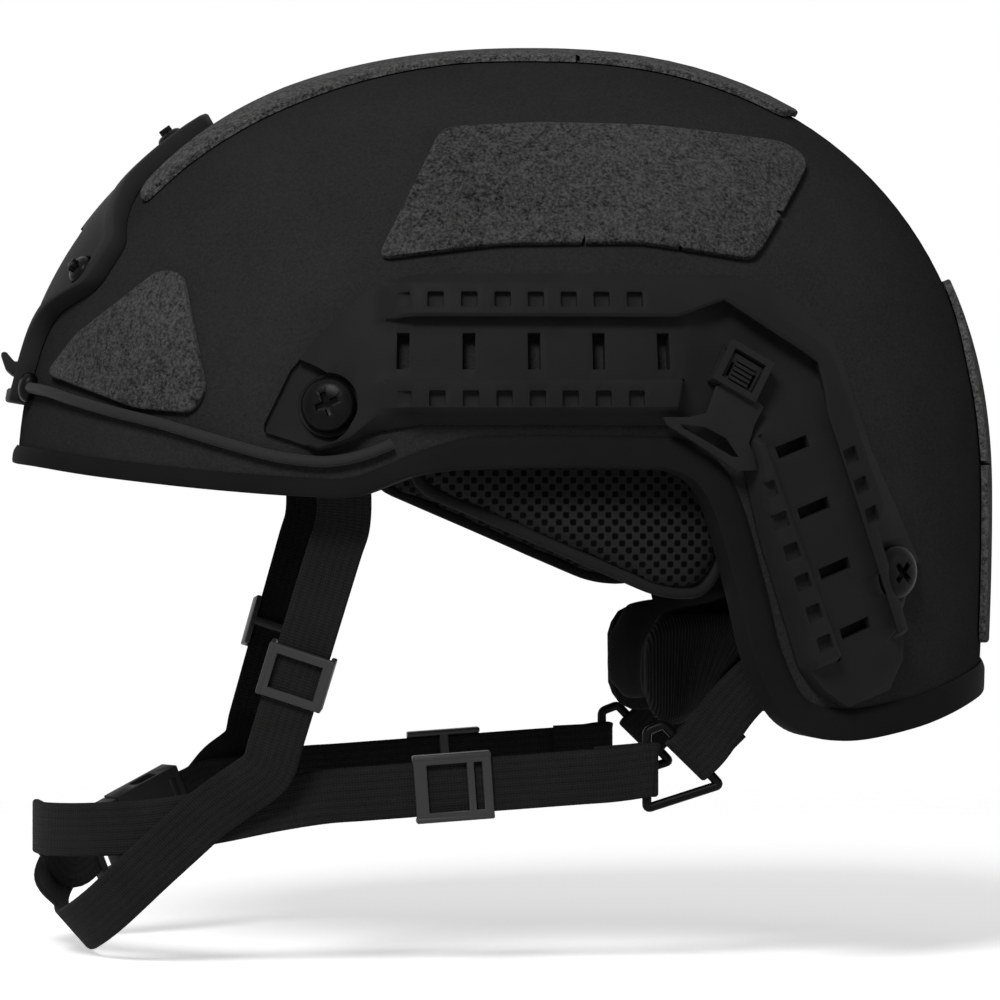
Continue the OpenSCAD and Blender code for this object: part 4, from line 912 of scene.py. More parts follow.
FRONT_PATCH = [(-128, 24.8), (-105, 15.4), (-90, 14), (-86.2, 20), (-92, 52), (-98, 52.6), (-120, 35.6)]
SIDE_PATCH = [(-41, 55), (-8, 59), (30, 59.5), (61, 55), (80, 83), (74, 88), (35, 92), (5, 92.5), (-22, 91)]
CROWN_PATCH = [(-102, -37), (-60, -35), (-15, -30), (40, -33), (76, -36), (82, -22), (82, 22), (76, 36),
               (40, 33), (-15, 30), (-60, 35), (-102, 37), (-102, 29), (-62, 11), (-62, -11), (-102, -29)]
REAR_PATCH = [(-37, -50), (37, -50), (38, 30), (26, 52), (-26, 52), (-38, 30)]
# Cuts in the patches, as the point each runs to and its width
SIDE_CUTS = [(-26, 73, 1.2), (30, 87, 1.2), (64, 72, 1.2), (14, 64, 1.2), (42, 63, 1.0)]
CROWN_CUTS = [(20, 25, 1.2), (20, -25, 1.2)]
REAR_CUTS = [(31, 0, 1.2), (-31, 0, 1.2)]


class HELMET_OT_patches(bpy.types.Operator):
    """Loop-pile patches on the brow, sides, crown and rear"""
    bl_idname = "helmet.patches"
    bl_label = "Loop Patches"

    def execute(self, context):
        shape = context.scene.helmet_shape
        wall = Wall(shape)
        paint = finishes()
        low = 1.5 * SEAT
        high = low + shape.patch_thickness / MM
        profile = [(0, low), (0, high - 0.7), (0.15, high - 0.25), (0.7, high)]

        def patch(name, corners, radius, place, notches=(), pile="loop_pile"):
            outline = notched(rounded(corners, radius, 1.6), notches)
            return new_piece(name, *wall_skin(wall, outline, place, profile, low, 14), paint[pile], 60)

        front = patch("brow_loop_left", FRONT_PATCH, 2.8, wall.side_at)
        both(front, "brow_loop", "helmet", "loop_patch", "front_patch")
        side = patch("side_loop_left", SIDE_PATCH, 4, wall.side_at, SIDE_CUTS)
        both(side, "side_loop", "helmet", "loop_patch", "side_patch")
        # The crown and rear patches take the paler pile, whose extra lightness is painted light
        crown = patch("crown_loop", CROWN_PATCH, 3, wall.top_at, CROWN_CUTS, "pale_loop_pile")
        finish_piece(crown, "helmet", "loop_patch", "crown_patch")
        rear = patch("rear_loop", REAR_PATCH, 5, wall.rear_at, REAR_CUTS, "pale_loop_pile")
        finish_piece(rear, "helmet", "loop_patch", "rear_patch")
        return {"FINISHED"}


# Half of the mount's outline from the top: half width, and height as a share of the dome's rise
MOUNT_TOP = 0.839
MOUNT_HALF = [(12, 0.823), (19, 0.7), (45, 0.56), (45, 0.462), (26, 0.412), (20, 0.36), (19, 0.214)]
MOUNT_SCREWS = [(0, 0.784), (38, 0.491), (-38, 0.491)]
# Plate's thickness, width of its rim, drop of its field, and how deep its screws sit
MOUNT_T, MOUNT_RIM, MOUNT_FIELD, MOUNT_SINK = 5.5, 4.0, 1.2, 1.5
WINDOW_SIZE, WINDOW_Z = (40, 32, 30), 52
HOOK_SECTION = [(1, -4.5), (-2.5, -4.8), (-4.5, -3), (-6, 1.5), (-4.5, 2), (-2, -1), (1, -0.3)]
HOOK_Z, HOOK_HALF = 30, 18
SCREW_SEAT_R, SCREW_SEAT_DEPTH, SCREW_SEAT_TAPER = 4.5, 2.6, 0.8
# Head's diameter and height, shank's diameter and depth, and length of the cross recess
SCREW_FORM = (8, 2.6, 4, 8, 3.6)


def upright(p):
    """Place at a point, with its directions along the axes."""
    return (np.asarray(p, float), *np.eye(3))


def box_points(size, centre=(0, 0, 0)):
    x, y, z = (s / 2 for s in size)
    corners = np.array([(a, b, c) for c in (-z, z) for a, b in ((-x, -y), (x, -y), (x, y), (-x, y))])
    faces = [[3, 2, 1, 0], [4, 5, 6, 7], [0, 1, 5, 4], [1, 2, 6, 5], [2, 3, 7, 6], [3, 0, 4, 7]]
    return corners + centre, faces


def helper_box(name, size, material, round_by=0.0, centre=(0, 0, 0)):
    piece = new_piece(name, *box_points(size, centre), material)
    return bevelled(piece, round_by) if round_by else piece


def helper_rod(name, radius, low, high, material, sides=48, taper=0.0):
    angles = np.linspace(0, 2 * math.pi, sides, endpoint=False)
    rings = [[(r * math.cos(a), r * math.sin(a), z) for a in angles]
             for r, z in ((radius, low), (radius + taper, high))]
    return new_piece(name, *loft(rings), material)


def moved_to(piece, place):
    """Moves a piece made about the origin to an origin and three directions, in its mesh."""
    co = points_of(piece.data) @ np.array(place[1:]) + np.array(place[0]) * MM
    piece.data.vertices.foreach_set("co", co.ravel())
    return piece


def combined(piece, others, operation):
    """A piece joined with helpers, or cut by them, one at a time. The helpers are used up."""
    for other in others:
        step = piece.modifiers.new("step", "BOOLEAN")
        step.operation, step.solver, step.object, step.use_self = operation, "EXACT", other, True
        applied(piece)
        bpy.data.objects.remove(other)
    smooth_by_angle(piece.data, 50)
    return piece


class HELMET_OT_front_mount(bpy.types.Operator):
    """Front mount with its rim, window and hook, and its screws"""
    bl_idname = "helmet.front_mount"
    bl_label = "Front Mount"

    def execute(self, context):
        wall = Wall(context.scene.helmet_shape)
        paint = finishes()
        alloy = paint["coated_alloy"]
        half = [(y, wall.dome_z(share)) for y, share in MOUNT_HALF]
        outline = rounded([(0, wall.dome_z(MOUNT_TOP)), *half, *[(-y, z) for y, z in half[::-1]]], 4, 1.6)
        profile = [(0, SEAT), (0, MOUNT_T - 0.9), (0.25, MOUNT_T - 0.25), (0.9, MOUNT_T),
                   (MOUNT_RIM - 0.8, MOUNT_T), (MOUNT_RIM - 0.3, MOUNT_T - 0.3),
                   (MOUNT_RIM, MOUNT_T - MOUNT_FIELD)]
        skin = wall_skin(wall, outline, wall.front_at, profile, SEAT, 12)
        plate = new_piece("front_mount_plate", *skin, alloy)
        window = helper_box("window", WINDOW_SIZE, alloy, 3.0)
        cut_at(plate, [upright(wall.front_at(0, WINDOW_Z))], window, alloy)
        screws_at = [wall.front_at(y, wall.dome_z(share)) for y, share in MOUNT_SCREWS]
        seats = [moved_to(helper_rod("screw_seat", SCREW_SEAT_R, MOUNT_T - SCREW_SEAT_DEPTH, 14, alloy,
                                     taper=SCREW_SEAT_TAPER), on_wall(wall, p)) for p in screws_at]
        combined(plate, seats, "DIFFERENCE")
        bevelled(plate, 0.35)
        hook_x = wall.front_at(0, HOOK_Z)[0] - MOUNT_T + 2
        corners = soft_corners([np.array(p, float) for p in HOOK_SECTION], 0.6)
        rings = [[(hook_x + p[0], y, HOOK_Z + p[1]) for p in corners]
                 for y in np.linspace(-HOOK_HALF, HOOK_HALF, 25)]
        hook = new_piece("front_mount_hook", *loft(rings), alloy)
        bevelled(hook, 0.4)
        finish_piece(plate, "helmet", "mount", "front_mount")
        finish_piece(hook, "helmet", "mount")
        places = [on_wall(wall, p, off=MOUNT_T - MOUNT_SINK + 0.05) for p in screws_at]
        head = crossed_bolt("mount_screw_form", *SCREW_FORM, paint["blackened_steel"])
        screws = repeat_at("mount_screws", places, head, paint["blackened_steel"])
        smooth_by_angle(screws.data, 40)
        finish_piece(screws, "helmet", "fastener", "front_mount_screws")
        softened("front_mount_nuts", paint["turned_steel"], 0.2, "nut")
        return {"FINISHED"}


# Rails

# Stations along a rail: axis point, lean of the cross line, reach to the outer and inner edge, height of the
# outer and inner lip as a share, outer end of the outer lip, its inner edge, and height of the floor. Those
# of the rear limb start with their height, because its axis gives the rest
REAR_TOP, REAR_LOW = np.array([68.5, 4.8]), np.array([86.1, -43.9])
REAR_LEAN = 90 - math.degrees(math.atan2(48.7, 17.6))


def rear_axis(z):
    return REAR_TOP + (REAR_LOW - REAR_TOP) * (z - REAR_TOP[1]) / (REAR_LOW[1] - REAR_TOP[1])


RAIL_FRONT = [
    (-71, 10, 90, 1.2, 1.2, 0, 0, 16.5, 8, 2.6), (-64, 15.8, 90, 9.6, 9.2, 0, 0, 16.5, 8, 3.2),
    (-56.5, 18.7, 90, 15.2, 15, 0, 0, 16.5, 8, 4.2), (-48, 24, 90, 17.5, 17.6, 0, 0, 16.5, 8, 4.8),
    (-41, 29.7, 90, 19, 20.5, 0, 0, 16.5, 8, 4.8), (-31, 29.7, 90, 21.3, 18.8, 1, 1, 16.5, 8, 4.8),
    (-10, 29.7, 90, 21.5, 18.8, 1, 1, 16.5, 8, 4.8), (20, 29.7, 90, 21.5, 18.8, 1, 1, 16.5, 8, 4.8),
    (36, 29.7, 83, 21.5, 19, 1, 1, 16.5, 8, 4.8), (39.4, 29.7, 80, 21.7, 19.3, 1, 1, 16.7, 9.4, 4.8),
    (41, 29.7, 79, 21.8, 19.4, 1, 0, 16.8, 10.2, 4.2), (43.5, 29.7, 76, 21.9, 19.7, 1, 0, 17.1, 11.5, 3.2),
    (46.2, 29.7, 74, 22, 20, 1, 0, 17.4, 12.8, 2.6), (48.6, 29.7, 73, 22, 22, 1, 0, 15.9, 11.4, 2.6),
    (53, 28.5, 70, 22.8, 23, 1, 0, 14.2, 9.8, 2.6), (59, 24.5, 62, 24, 23, 1, 0, 14, 9.7, 2.6),
    (64, 17.5, 42, 24.5, 16.5, 1, 0, 17.8, 13.3, 3.0)]
RAIL_REAR = [
    (10.5, 23, 12, 1, 0, 16.5, 10.4, 4.8), (8, 23, 12.2, 1, 1, 16.5, 10.2, 4.8),
    (-4, 23, 14.3, 1, 1, 16.5, 10, 4.8),
    (-16, 24.3, 15.7, 1, 1, 16.4, 9.7, 4.8), (-19, 24.8, 15.8, 1, 1, 14.5, 9.6, 4.8),
    (-20.5, 25, 15.8, 1, 1, 12.6, 9.6, 4.8), (-34.8, 26.3, 16.3, 1, 1, 12.2, 9.2, 4.8),
    (-48, 14.5, 16.8, 1, 1, 11.6, 8.8, 4.8), (-50, 13, 16.5, 0, 0, 11.6, 8.8, 4.8),
    (-56, 10.5, 14.5, 0, 0, 11.6, 8.8, 4.8), (-62.5, 5, 8.5, 0, 0, 11.6, 8.8, 3.2)]
# The front foot is cut down to the bolt's seat in front of this curved step
SEAT_OUTLINE = [(-80, 30), (-80, 5.5), (-53, 5.5), (-48.3, 9.3), (-46.6, 15.2), (-49.5, 21), (-55.9, 25.5),
                (-61.7, 28.1)]
# Heights of the bolts' seats, the rim, the flange and the lips; the undercut and half width of the channel
BOLT_SEAT, RIM_H = 1.8, 1.2
FLANGE_T, LIP_H, UNDERCUT, CHANNEL = 2.6, 9.0, 1.8, 8.0
FRONT_BOLT, REAR_BOLT = (-54, 16), (99.4, -29)
# Turn of each bolt's cross in degrees, and radius of the bolt's seat
FRONT_TURN, REAR_TURN, FRONT_SEAT_R, REAR_SEAT_R = 22, 48, 8.5, 8.6
# Head's diameter and height, shank's diameter and depth, and length of the cross recess
BOLT_FORM = (15, 3.6, 6, 14, 6.5)
RAIL_STEP, ROW_Z = 2.2, 29.7
SLOT_SIZE, SLOT_FIRST, SLOT_PITCH = (3.4, 10, 40), -34.3, 17.1
POCKET_SIZE, POCKET_FIRST, POCKET_PITCH, POCKET_OFF = (4.4, 4.4, 4.4), -34, 8.6, (12.3, -12.8)
# Rows of pockets on the rear limb: first height, pitch, distance from the axis, and count
REAR_POCKETS = ((-2.6, 8.2, -11.2, 6), (-1.8, 7.8, 12.3, 3))


def rail_stations(step):
    rows = list(RAIL_FRONT)
    for s in RAIL_REAR:
        c = rear_axis(s[0])
        rows.append((c[0], c[1], REAR_LEAN, *s[1:]))
    rows = np.array(rows, float)
    out = []
    for a, b in zip(rows[:-1], rows[1:]):
        count = max(1, int(np.linalg.norm(a[:2] - b[:2]) / step))
        out += [a + (b - a) * k / count for k in range(count)]
    return np.array(out + [rows[-1]])


def lip_run(edge, end, c, full):
    """Distances from the axis of half a section, from its edge to its middle."""
    k = min(1, (edge - 0.4) / (end + 1.5))
    under = [c - low + (low + UNDERCUT) * full for low in (1, 2)]
    return [edge, k * (end + 1.5), k * end, k * (c + 0.8), k * c, k * under[0], k * under[1], 3 * k]


def lip_heights(floor, full):
    heights = (FLANGE_T, LIP_H - 0.4, LIP_H, LIP_H - 0.6, floor + 0.8, floor, floor)
    return [RIM_H] + [floor + (h - floor) * full for h in heights]


def rail_section(wall, s):
    x, z, lean, o, i, out_full, in_full, end, c, floor = s
    inner_end = max(min(15, i - 2.4), CHANNEL + 1.6)
    outer = list(zip(lip_run(o, end, c, out_full), lip_heights(floor, out_full)))
    inner = list(zip(lip_run(i, inner_end, CHANNEL, in_full), lip_heights(floor, in_full)))
    low = [(-i + (o + i) * t, SEAT) for t in (0, 0.25, 0.5, 0.75, 1)]
    q = np.array(outer + [(-a, h) for a, h in inner[::-1]] + low)
    way = np.array([math.cos(math.radians(lean)), math.sin(math.radians(lean))])
    return wall.lay(wall.side_at(x + q[:, 0] * way[0], z + q[:, 0] * way[1]), q[:, 1])


class HELMET_OT_rails(bpy.types.Operator):
    """Side accessory rails with their undercut channel, slots, pockets and bolt seats"""
    bl_idname = "helmet.rails"
    bl_label = "Accessory Rails"

    def execute(self, context):
        wall = Wall(context.scene.helmet_shape)
        plastic = finishes()["rail_plastic"]
        sections = [rail_section(wall, s) for s in rail_stations(RAIL_STEP)]
        rail = new_piece("rail_body_left", *loft(sections), plastic)
        slots = [on_wall(wall, wall.side_at(SLOT_FIRST + i * SLOT_PITCH, ROW_Z)) for i in range(5)]
        slots += [on_wall(wall, wall.side_at(*(REAR_TOP + (REAR_LOW - REAR_TOP) * i / 3)), REAR_LEAN - 90)
                  for i in range(4)]
        cut_at(rail, slots, helper_box("slot", SLOT_SIZE, plastic), plastic)
        way = np.array([math.cos(math.radians(REAR_LEAN)), math.sin(math.radians(REAR_LEAN))])
        pockets = [on_wall(wall, wall.side_at(POCKET_FIRST + i * POCKET_PITCH, ROW_Z + v), off=LIP_H)
                   for v in POCKET_OFF for i in range(8)]
        pockets += [on_wall(wall, wall.side_at(*(rear_axis(z - i * pitch) + off * way)), REAR_LEAN, LIP_H)
                    for z, pitch, off, count in REAR_POCKETS for i in range(count)]
        cut_at(rail, pockets, helper_box("pocket", POCKET_SIZE, plastic, 0.5), plastic)
        for bolt, radius in ((FRONT_BOLT, FRONT_SEAT_R), (REAR_BOLT, REAR_SEAT_R)):
            cut_at(rail, [on_wall(wall, wall.side_at(*bolt), off=BOLT_SEAT - 0.3)],
                   helper_rod("bolt_seat", radius, 0, 20, plastic), plastic)
        seat = wall_skin(wall, rounded(SEAT_OUTLINE, 2, 1.5), wall.side_at,
                         [(0, BOLT_SEAT), (0, 3 * LIP_H)], BOLT_SEAT)
        cut_at(rail, [upright((0, 0, 0))], new_piece("front_seat", *seat, plastic), plastic)
        bevelled(rail, 0.28, 30)
        both(rail, "rail_body", "helmet", "rail", "rail")
        return {"FINISHED"}


def crossed_bolt(name, head_d, head_h, shank_d, depth, recess, material):
    """Domed head with a cross recess and a short shank, its seat at the origin."""
    profile = [(0.01, -depth), (shank_d / 2, -depth), (shank_d / 2, 0.02), (head_d / 2 - 0.2, 0.02),
               (head_d / 2, 0.3), (head_d / 2, head_h * 0.3), (head_d * 0.475, head_h * 0.52),
               (head_d * 0.42, head_h * 0.74), (head_d * 0.33, head_h * 0.9), (head_d * 0.2, head_h * 0.98),
               (0.01, head_h)]
    angles = np.linspace(0, 2 * math.pi, 64, endpoint=False)
    rings = [[(r * math.cos(a), r * math.sin(a), z) for a in angles] for r, z in profile]
    piece = new_piece(name, *loft(rings), material)
    place = upright((0, 0, head_h))
    turned = (place[0], place[2], -place[1], place[3])
    for spot in (place, turned):
        arm = helper_box("recess", (recess, recess / 3.6, head_h * 1.1), material, 0.2)
        cut_at(piece, [spot], arm, material)
    return bevelled(piece, 0.12, 40)


class HELMET_OT_fasteners(bpy.types.Operator):
    """Rail bolts through the shell and their flanged inner nuts"""
    bl_idname = "helmet.fasteners"
    bl_label = "Rail Bolts"

    def execute(self, context):
        wall = Wall(context.scene.helmet_shape)
        paint = finishes()
        places = [on_wall(wall, wall.side_at(*bolt), turn, BOLT_SEAT + 0.05)
                  for bolt, turn in ((FRONT_BOLT, FRONT_TURN), (REAR_BOLT, REAR_TURN))]
        flip = np.array([1, -1, 1])
        places += [(p[0] * flip, p[1] * flip, p[2] * flip, p[3] * flip) for p in places]
        head = crossed_bolt("rail_bolt_form", *BOLT_FORM, paint["blackened_steel"])
        bolts = repeat_at("rail_bolt_set", places, head, paint["blackened_steel"])
        smooth_by_angle(bolts.data, 40)
        finish_piece(bolts, "helmet", "fastener", "rail_bolts")
        softened("anchor_nuts", paint["turned_steel"], 0.25, "nut")
        return {"FINISHED"}


# Catches

class HELMET_OT_catches(bpy.types.Operator):
    """Removable catch in the corner of each rail, with its sprung tab"""
    bl_idname = "helmet.catches"
    bl_label = "Rail Catches"

    def execute(self, context):
        paint = finishes()
        for side in ("left", "right"):
            softened("rail_clip_" + side, paint["catch_plastic"], 0.3, "clip")
            softened("clip_tab_" + side, paint["catch_plastic"], 0.15, "clip")
        return {"FINISHED"}


# Cord along the brow

# Half sizes of the lug that holds the cord's front end: along the cord, upright, and off the wall
LUG = (3.2, 4.2, 2.8)
# The cord's route, as bearing from the brow and height
BUNGEE = [(9, 21.5), (16, 20.2), (22, 17.7), (29, 14.4), (36, 11), (46, 4.8), (51, 2.2), (56.5, 1.1),
          (61, 2.7), (65, 5.8)]


def tube(path, normals, radius, sides=20):
    """Round tube along a path, with a map of metres along and turns round."""
    path = np.asarray(path, float)
    way = unit(np.gradient(path, axis=0))
    across = unit(np.cross(normals, way))
    lift = np.cross(way, across)
    angles = np.linspace(0, 2 * math.pi, sides, endpoint=False)
    radius = np.broadcast_to(radius, len(path))
    rings = [[path[i] + radius[i] * (math.cos(a) * across[i] + math.sin(a) * lift[i]) for a in angles]
             for i in range(len(path))]
    along = np.concatenate([[0], np.cumsum(np.linalg.norm(np.diff(path, axis=0), axis=1))]) * MM
    uv = [(along[i], k / sides) for i in range(len(path)) for k in range(sides)]
    return *loft(rings), uv


class HELMET_OT_cord(bpy.types.Operator):
    """Elastic retention cord along the brow"""
    bl_idname = "helmet.cord"
    bl_label = "Brow Cord"

    def execute(self, context):
        shape = context.scene.helmet_shape
        wall = Wall(shape)
        radius = shape.cord_diameter / MM / 2
        route = curve(BUNGEE, 12)
        base = wall.ring_at(route[:, 0], route[:, 1])
        path = wall.lay(base, np.full(len(base), radius + SEAT))
        points, faces, uv = tube(path, wall.outward(base), radius)
        cord = new_piece("brow_cord_left", points, faces, finishes()["braided_cord"], 60, uv)
        both(cord, "brow_cord", "helmet", "cord", "bungee")
        along, high, deep = LUG
        way, out = unit(path[1] - path[0]), wall.outward(base)[0]
        up, turn = np.cross(out, way), np.linspace(0, 2 * math.pi, 20, endpoint=False)
        rings = [[path[0] + along * t * way + (1 - abs(t) ** 3) ** 0.4 * (
            high * math.sin(a) * up + deep * math.cos(a) * out) for a in turn]
            for t in (-0.99, -0.9, -0.7, -0.4, 0, 0.4, 0.7, 0.9, 0.99)]
        lug = new_piece("cord_lug_left", *loft(rings), finishes()["blackened_steel"], 60)
        for piece in (lug, other_side(lug, "cord_lug_right")):
            finish_piece(piece, "helmet", "cord")
        return {"FINISHED"}


# Liner

# Outlines of the pads: the crown's from above, the sides' by x and height, the others by bearing and height
CROWN_PAD = [(-52, -20), (-40, -38), (55, -38), (70, -20), (70, 20), (55, 38), (-40, 38), (-52, 20)]
BROW_PAD = [(-44, 14), (0, 16), (44, 14), (46, 46), (0, 50), (-46, 46)]
REAR_PAD = [(142, 2), (180, 0), (218, 2), (216, 40), (180, 44), (144, 40)]
SIDE_PAD = [(-34, 36), (-38, 10), (-33, -6), (16, -27), (38, -35.5), (52, -36), (60, -20), (62, 36)]
PAD_BACK, PAD_THICK, TAPE_DEPTH = 11.4, 14.0, 4.5
CLOTH_FRAMES, CLOTH_STIFFNESS, CLOTH_BENDING = 20, 25, 0.8


def cushion(wall, outline, place):
    """Crowned cushion against the inside of the wall, with sides that pull in."""
    mid = outline.mean(0)
    profile = [(0.12, 0.02), (0.06, 0.1), (0.03, 0.28), (0.0, 0.52), (0.02, 0.7), (0.07, 0.84), (0.16, 0.93),
               (0.3, 0.975), (0.5, 0.995), (0.75, 1)]

    def ring(t, off):
        q = outline + (mid - outline) * t
        return wall.lay(place(q[:, 0], q[:, 1]), np.full(len(q), off))

    centre = place(mid[0], mid[1])
    return sheet([ring(t, -PAD_BACK) for t in (0.2, 0.4, 0.6, 0.8)], wall.lay(centre, -PAD_BACK),
                 [ring(t, -PAD_BACK - PAD_THICK * d) for t, d in profile],
                 wall.lay(centre, -PAD_BACK - PAD_THICK))


def inflate(piece, fabric):
    """Remeshes a pad and lets pressure swell it, with every point kept within the rise of its start."""
    mesh = piece.data
    material = mesh.materials[0]
    remesh = piece.modifiers.new("cells", "REMESH")
    remesh.mode = "VOXEL"
    remesh.voxel_size = fabric.voxel
    applied(piece)
    start = points_of(piece.data)
    cloth = piece.modifiers.new("cloth", "CLOTH")
    cloth.settings.use_pressure = True
    cloth.settings.uniform_pressure_force = fabric.pressure
    cloth.settings.effector_weights.gravity = 0
    cloth.settings.tension_stiffness = CLOTH_STIFFNESS
    cloth.settings.compression_stiffness = CLOTH_STIFFNESS
    cloth.settings.bending_stiffness = CLOTH_BENDING
    scene = bpy.context.scene
    for number in range(1, CLOTH_FRAMES + 1):
        scene.frame_set(number)
    applied(piece)
    scene.frame_set(1)
    moved = points_of(piece.data) - start
    far = np.linalg.norm(moved, axis=1, keepdims=True)
    moved *= np.minimum(1, fabric.rise / np.maximum(far, 1e-9))
    piece.data.vertices.foreach_set("co", (start + moved).ravel())
    smooth = piece.modifiers.new("even", "SMOOTH")
    smooth.factor, smooth.iterations = 0.5, 3
    finer = piece.modifiers.new("finer", "SUBSURF")
    finer.levels = finer.render_levels = 1
    applied(piece)
    piece.data.materials.clear()
    piece.data.materials.append(material)
    smooth_by_angle(piece.data, 180)


def flat_map(piece, a, b):
    """Map in metres from two directions across the piece."""
    co = points_of(piece.data)
    set_map(piece.data, np.stack([co @ np.asarray(a, float), co @ np.asarray(b, float)], -1))


def binding(wall, outline, depth, inset=1.2, half_h=2.0, half_w=1.7):
    """Closed band of tape round the edge of a side pad."""
    mid = outline.mean(0)
    place = outline + unit(mid - outline) * inset
    base = wall.side_at(place[:, 0], place[:, 1])
    n = wall.outward(base)
    across = unit(np.cross(n, unit(np.roll(base, -1, 0) - np.roll(base, 1, 0))))
    angles = np.linspace(0, 2 * math.pi, 12, endpoint=False)
    rings = [[base[i] - depth * n[i] + half_w * math.cos(a) * across[i] + half_h * math.sin(a) * n[i]
              for a in angles] for i in range(len(base))]
    return loft(rings, closed=True)


class HELMET_OT_liner(bpy.types.Operator):
    """Comfort pads and the hook discs that hold them"""
    bl_idname = "helmet.liner"
    bl_label = "Liner Pads"

    def execute(self, context):
        wall = Wall(context.scene.helmet_shape)
        fabric = context.scene.helmet_fabric
        paint = finishes()
        mesh = paint["spacer_mesh"]
        pads = [("crown_cushion", "crown_pad", CROWN_PAD, 8, wall.top_at, (1, 0, 0), (0, 1, 0)),
                ("brow_cushion", "front_pad", BROW_PAD, 5, wall.ring_at, (0, 1, 0), (0, 0, 1)),
                ("rear_cushion", "rear_pad", REAR_PAD, 5, wall.ring_at, (0, 1, 0), (0, 0, 1))]
        for name, node, corners, radius, place, a, b in pads:
            pad = new_piece(name, *cushion(wall, rounded(corners, radius, 4), place), mesh)
            inflate(pad, fabric)
            flat_map(pad, a, b)
            finish_piece(pad, "helmet", "pad", node)
        outline = rounded(SIDE_PAD, 6, 3)
        skin = binding(wall, outline, PAD_BACK + TAPE_DEPTH)
        tape = new_piece("side_binding_left", *skin, paint["plain_knit"], 60)
        finish_piece(tape, "helmet", "pad")
        finish_piece(other_side(tape, "side_binding_right"), "helmet", "pad")
        for side in ("left", "right"):
            pad = new_piece("side_cushion_" + side, *cushion(wall, outline, wall.side_at), mesh)
            if side == "right":
                twin = other_side(pad, "side_cushion_turned")
                bpy.data.objects.remove(pad)
                pad = twin
                pad.name = "side_cushion_right"
            inflate(pad, fabric)
            flat_map(pad, (1, 0, 0), (0, 0, 1))
            finish_piece(pad, "helmet", "pad", "side_pad_" + side)
        softened("hook_discs", paint["hook_tape"], 0.2, "disc")
        return {"FINISHED"}


# Nape cradle

YOKE_END, YOKE_MID, YOKE_HALF_Y, YOKE_H, YOKE_T = (34, -57), (66.3, -53.8), 50, 30, 2.6
NAPE_PAD_T, NAPE_PAD_BACK = 11.6, 1.2
# Radii in metres that the maps of the sleeve and the pad are measured on, and the middle of the pad's
SLEEVE_MAP_R, PAD_MAP_R, MAP_X, MAP_REACH = 0.045, 0.048, 10, 50
NAPE_HALF = [(0.5, 0), (1, 0), (1.15, 0.12), (1.2, 0.3), (1.19, 0.48), (1.14, 0.65), (1.04, 0.79),
             (0.88, 0.89), (0.65, 0.96), (0.35, 1)]
NAPE_SECTION = [(-1, 0), (-0.5, 0), (0, 0), *NAPE_HALF, (0, 1), *[(-x, y) for x, y in NAPE_HALF[:1:-1]]]


def yoke_at(a):
    c, s = math.cos(math.radians(a)), math.sin(math.radians(a))
    return np.array([YOKE_END[0] + (YOKE_MID[0] - YOKE_END[0]) * c, -YOKE_HALF_Y * s,
                     YOKE_END[1] + (YOKE_MID[1] - YOKE_END[1]) * c * c])


def yoke_frame(a):
    lean = math.radians(17 + 28 * math.cos(math.radians(a)) ** 2)
    up = np.array([math.sin(lean), 0, math.cos(lean)])
    t = unit(yoke_at(a + 1) - yoke_at(a - 1))
    side = unit(up - (up @ t) * t)
    return yoke_at(a), side, np.cross(t, side)


def section(place, outline):
    return [place[0] + q[0] * place[1] + q[1] * place[2] for q in outline]


def nape_band(last, more, puff):
    """Band round the neck with tapered ends. Its section grows by more, and its ends swell by puff."""
    rings, uv = [], []
    for a in np.arange(-last, last + 0.1, 2):
        edge = last - abs(a)
        high = float(np.interp(edge, [0, 2, 6, 12, 20], [0.45, 0.66, 0.86, 0.97, 1]))
        half_h = (YOKE_H / 2 + more) * high
        half_t = YOKE_T / 2 + more + puff * float(np.interp(edge, [0, 4, 16, 30], [0.3, 1, 0.8, 0]))
        corners = [(-half_h, -half_t * 0.4), (-half_h * 0.8, -half_t), (half_h * 0.8, -half_t),
                   (half_h, -half_t * 0.4), (half_h, half_t * 0.4), (half_h * 0.8, half_t),
                   (-half_h * 0.8, half_t), (-half_h, half_t * 0.4)]
        outline = soft_corners([np.array(c) for c in corners], 0.8)
        rings.append(section(yoke_frame(a), outline))
        uv += [(math.radians(a) * SLEEVE_MAP_R, q[0] * MM) for q in outline]
    return *loft(rings), uv


# Parts of the dial: node, finish, rounding of its edges and slot
DIAL_PARTS = (("dial_housing", "cradle_plastic", 0.5, "dial"), ("dial_cover", "cradle_plastic", 0.35, "dial"),
              ("dial_knob", "rail_plastic", 0.3, "dial"), ("dial_pinion", "gear_plastic", 0.1, "gear"),
              ("rack_upper", "gear_plastic", 0.12, "gear"), ("rack_lower", "gear_plastic", 0.12, "gear"))


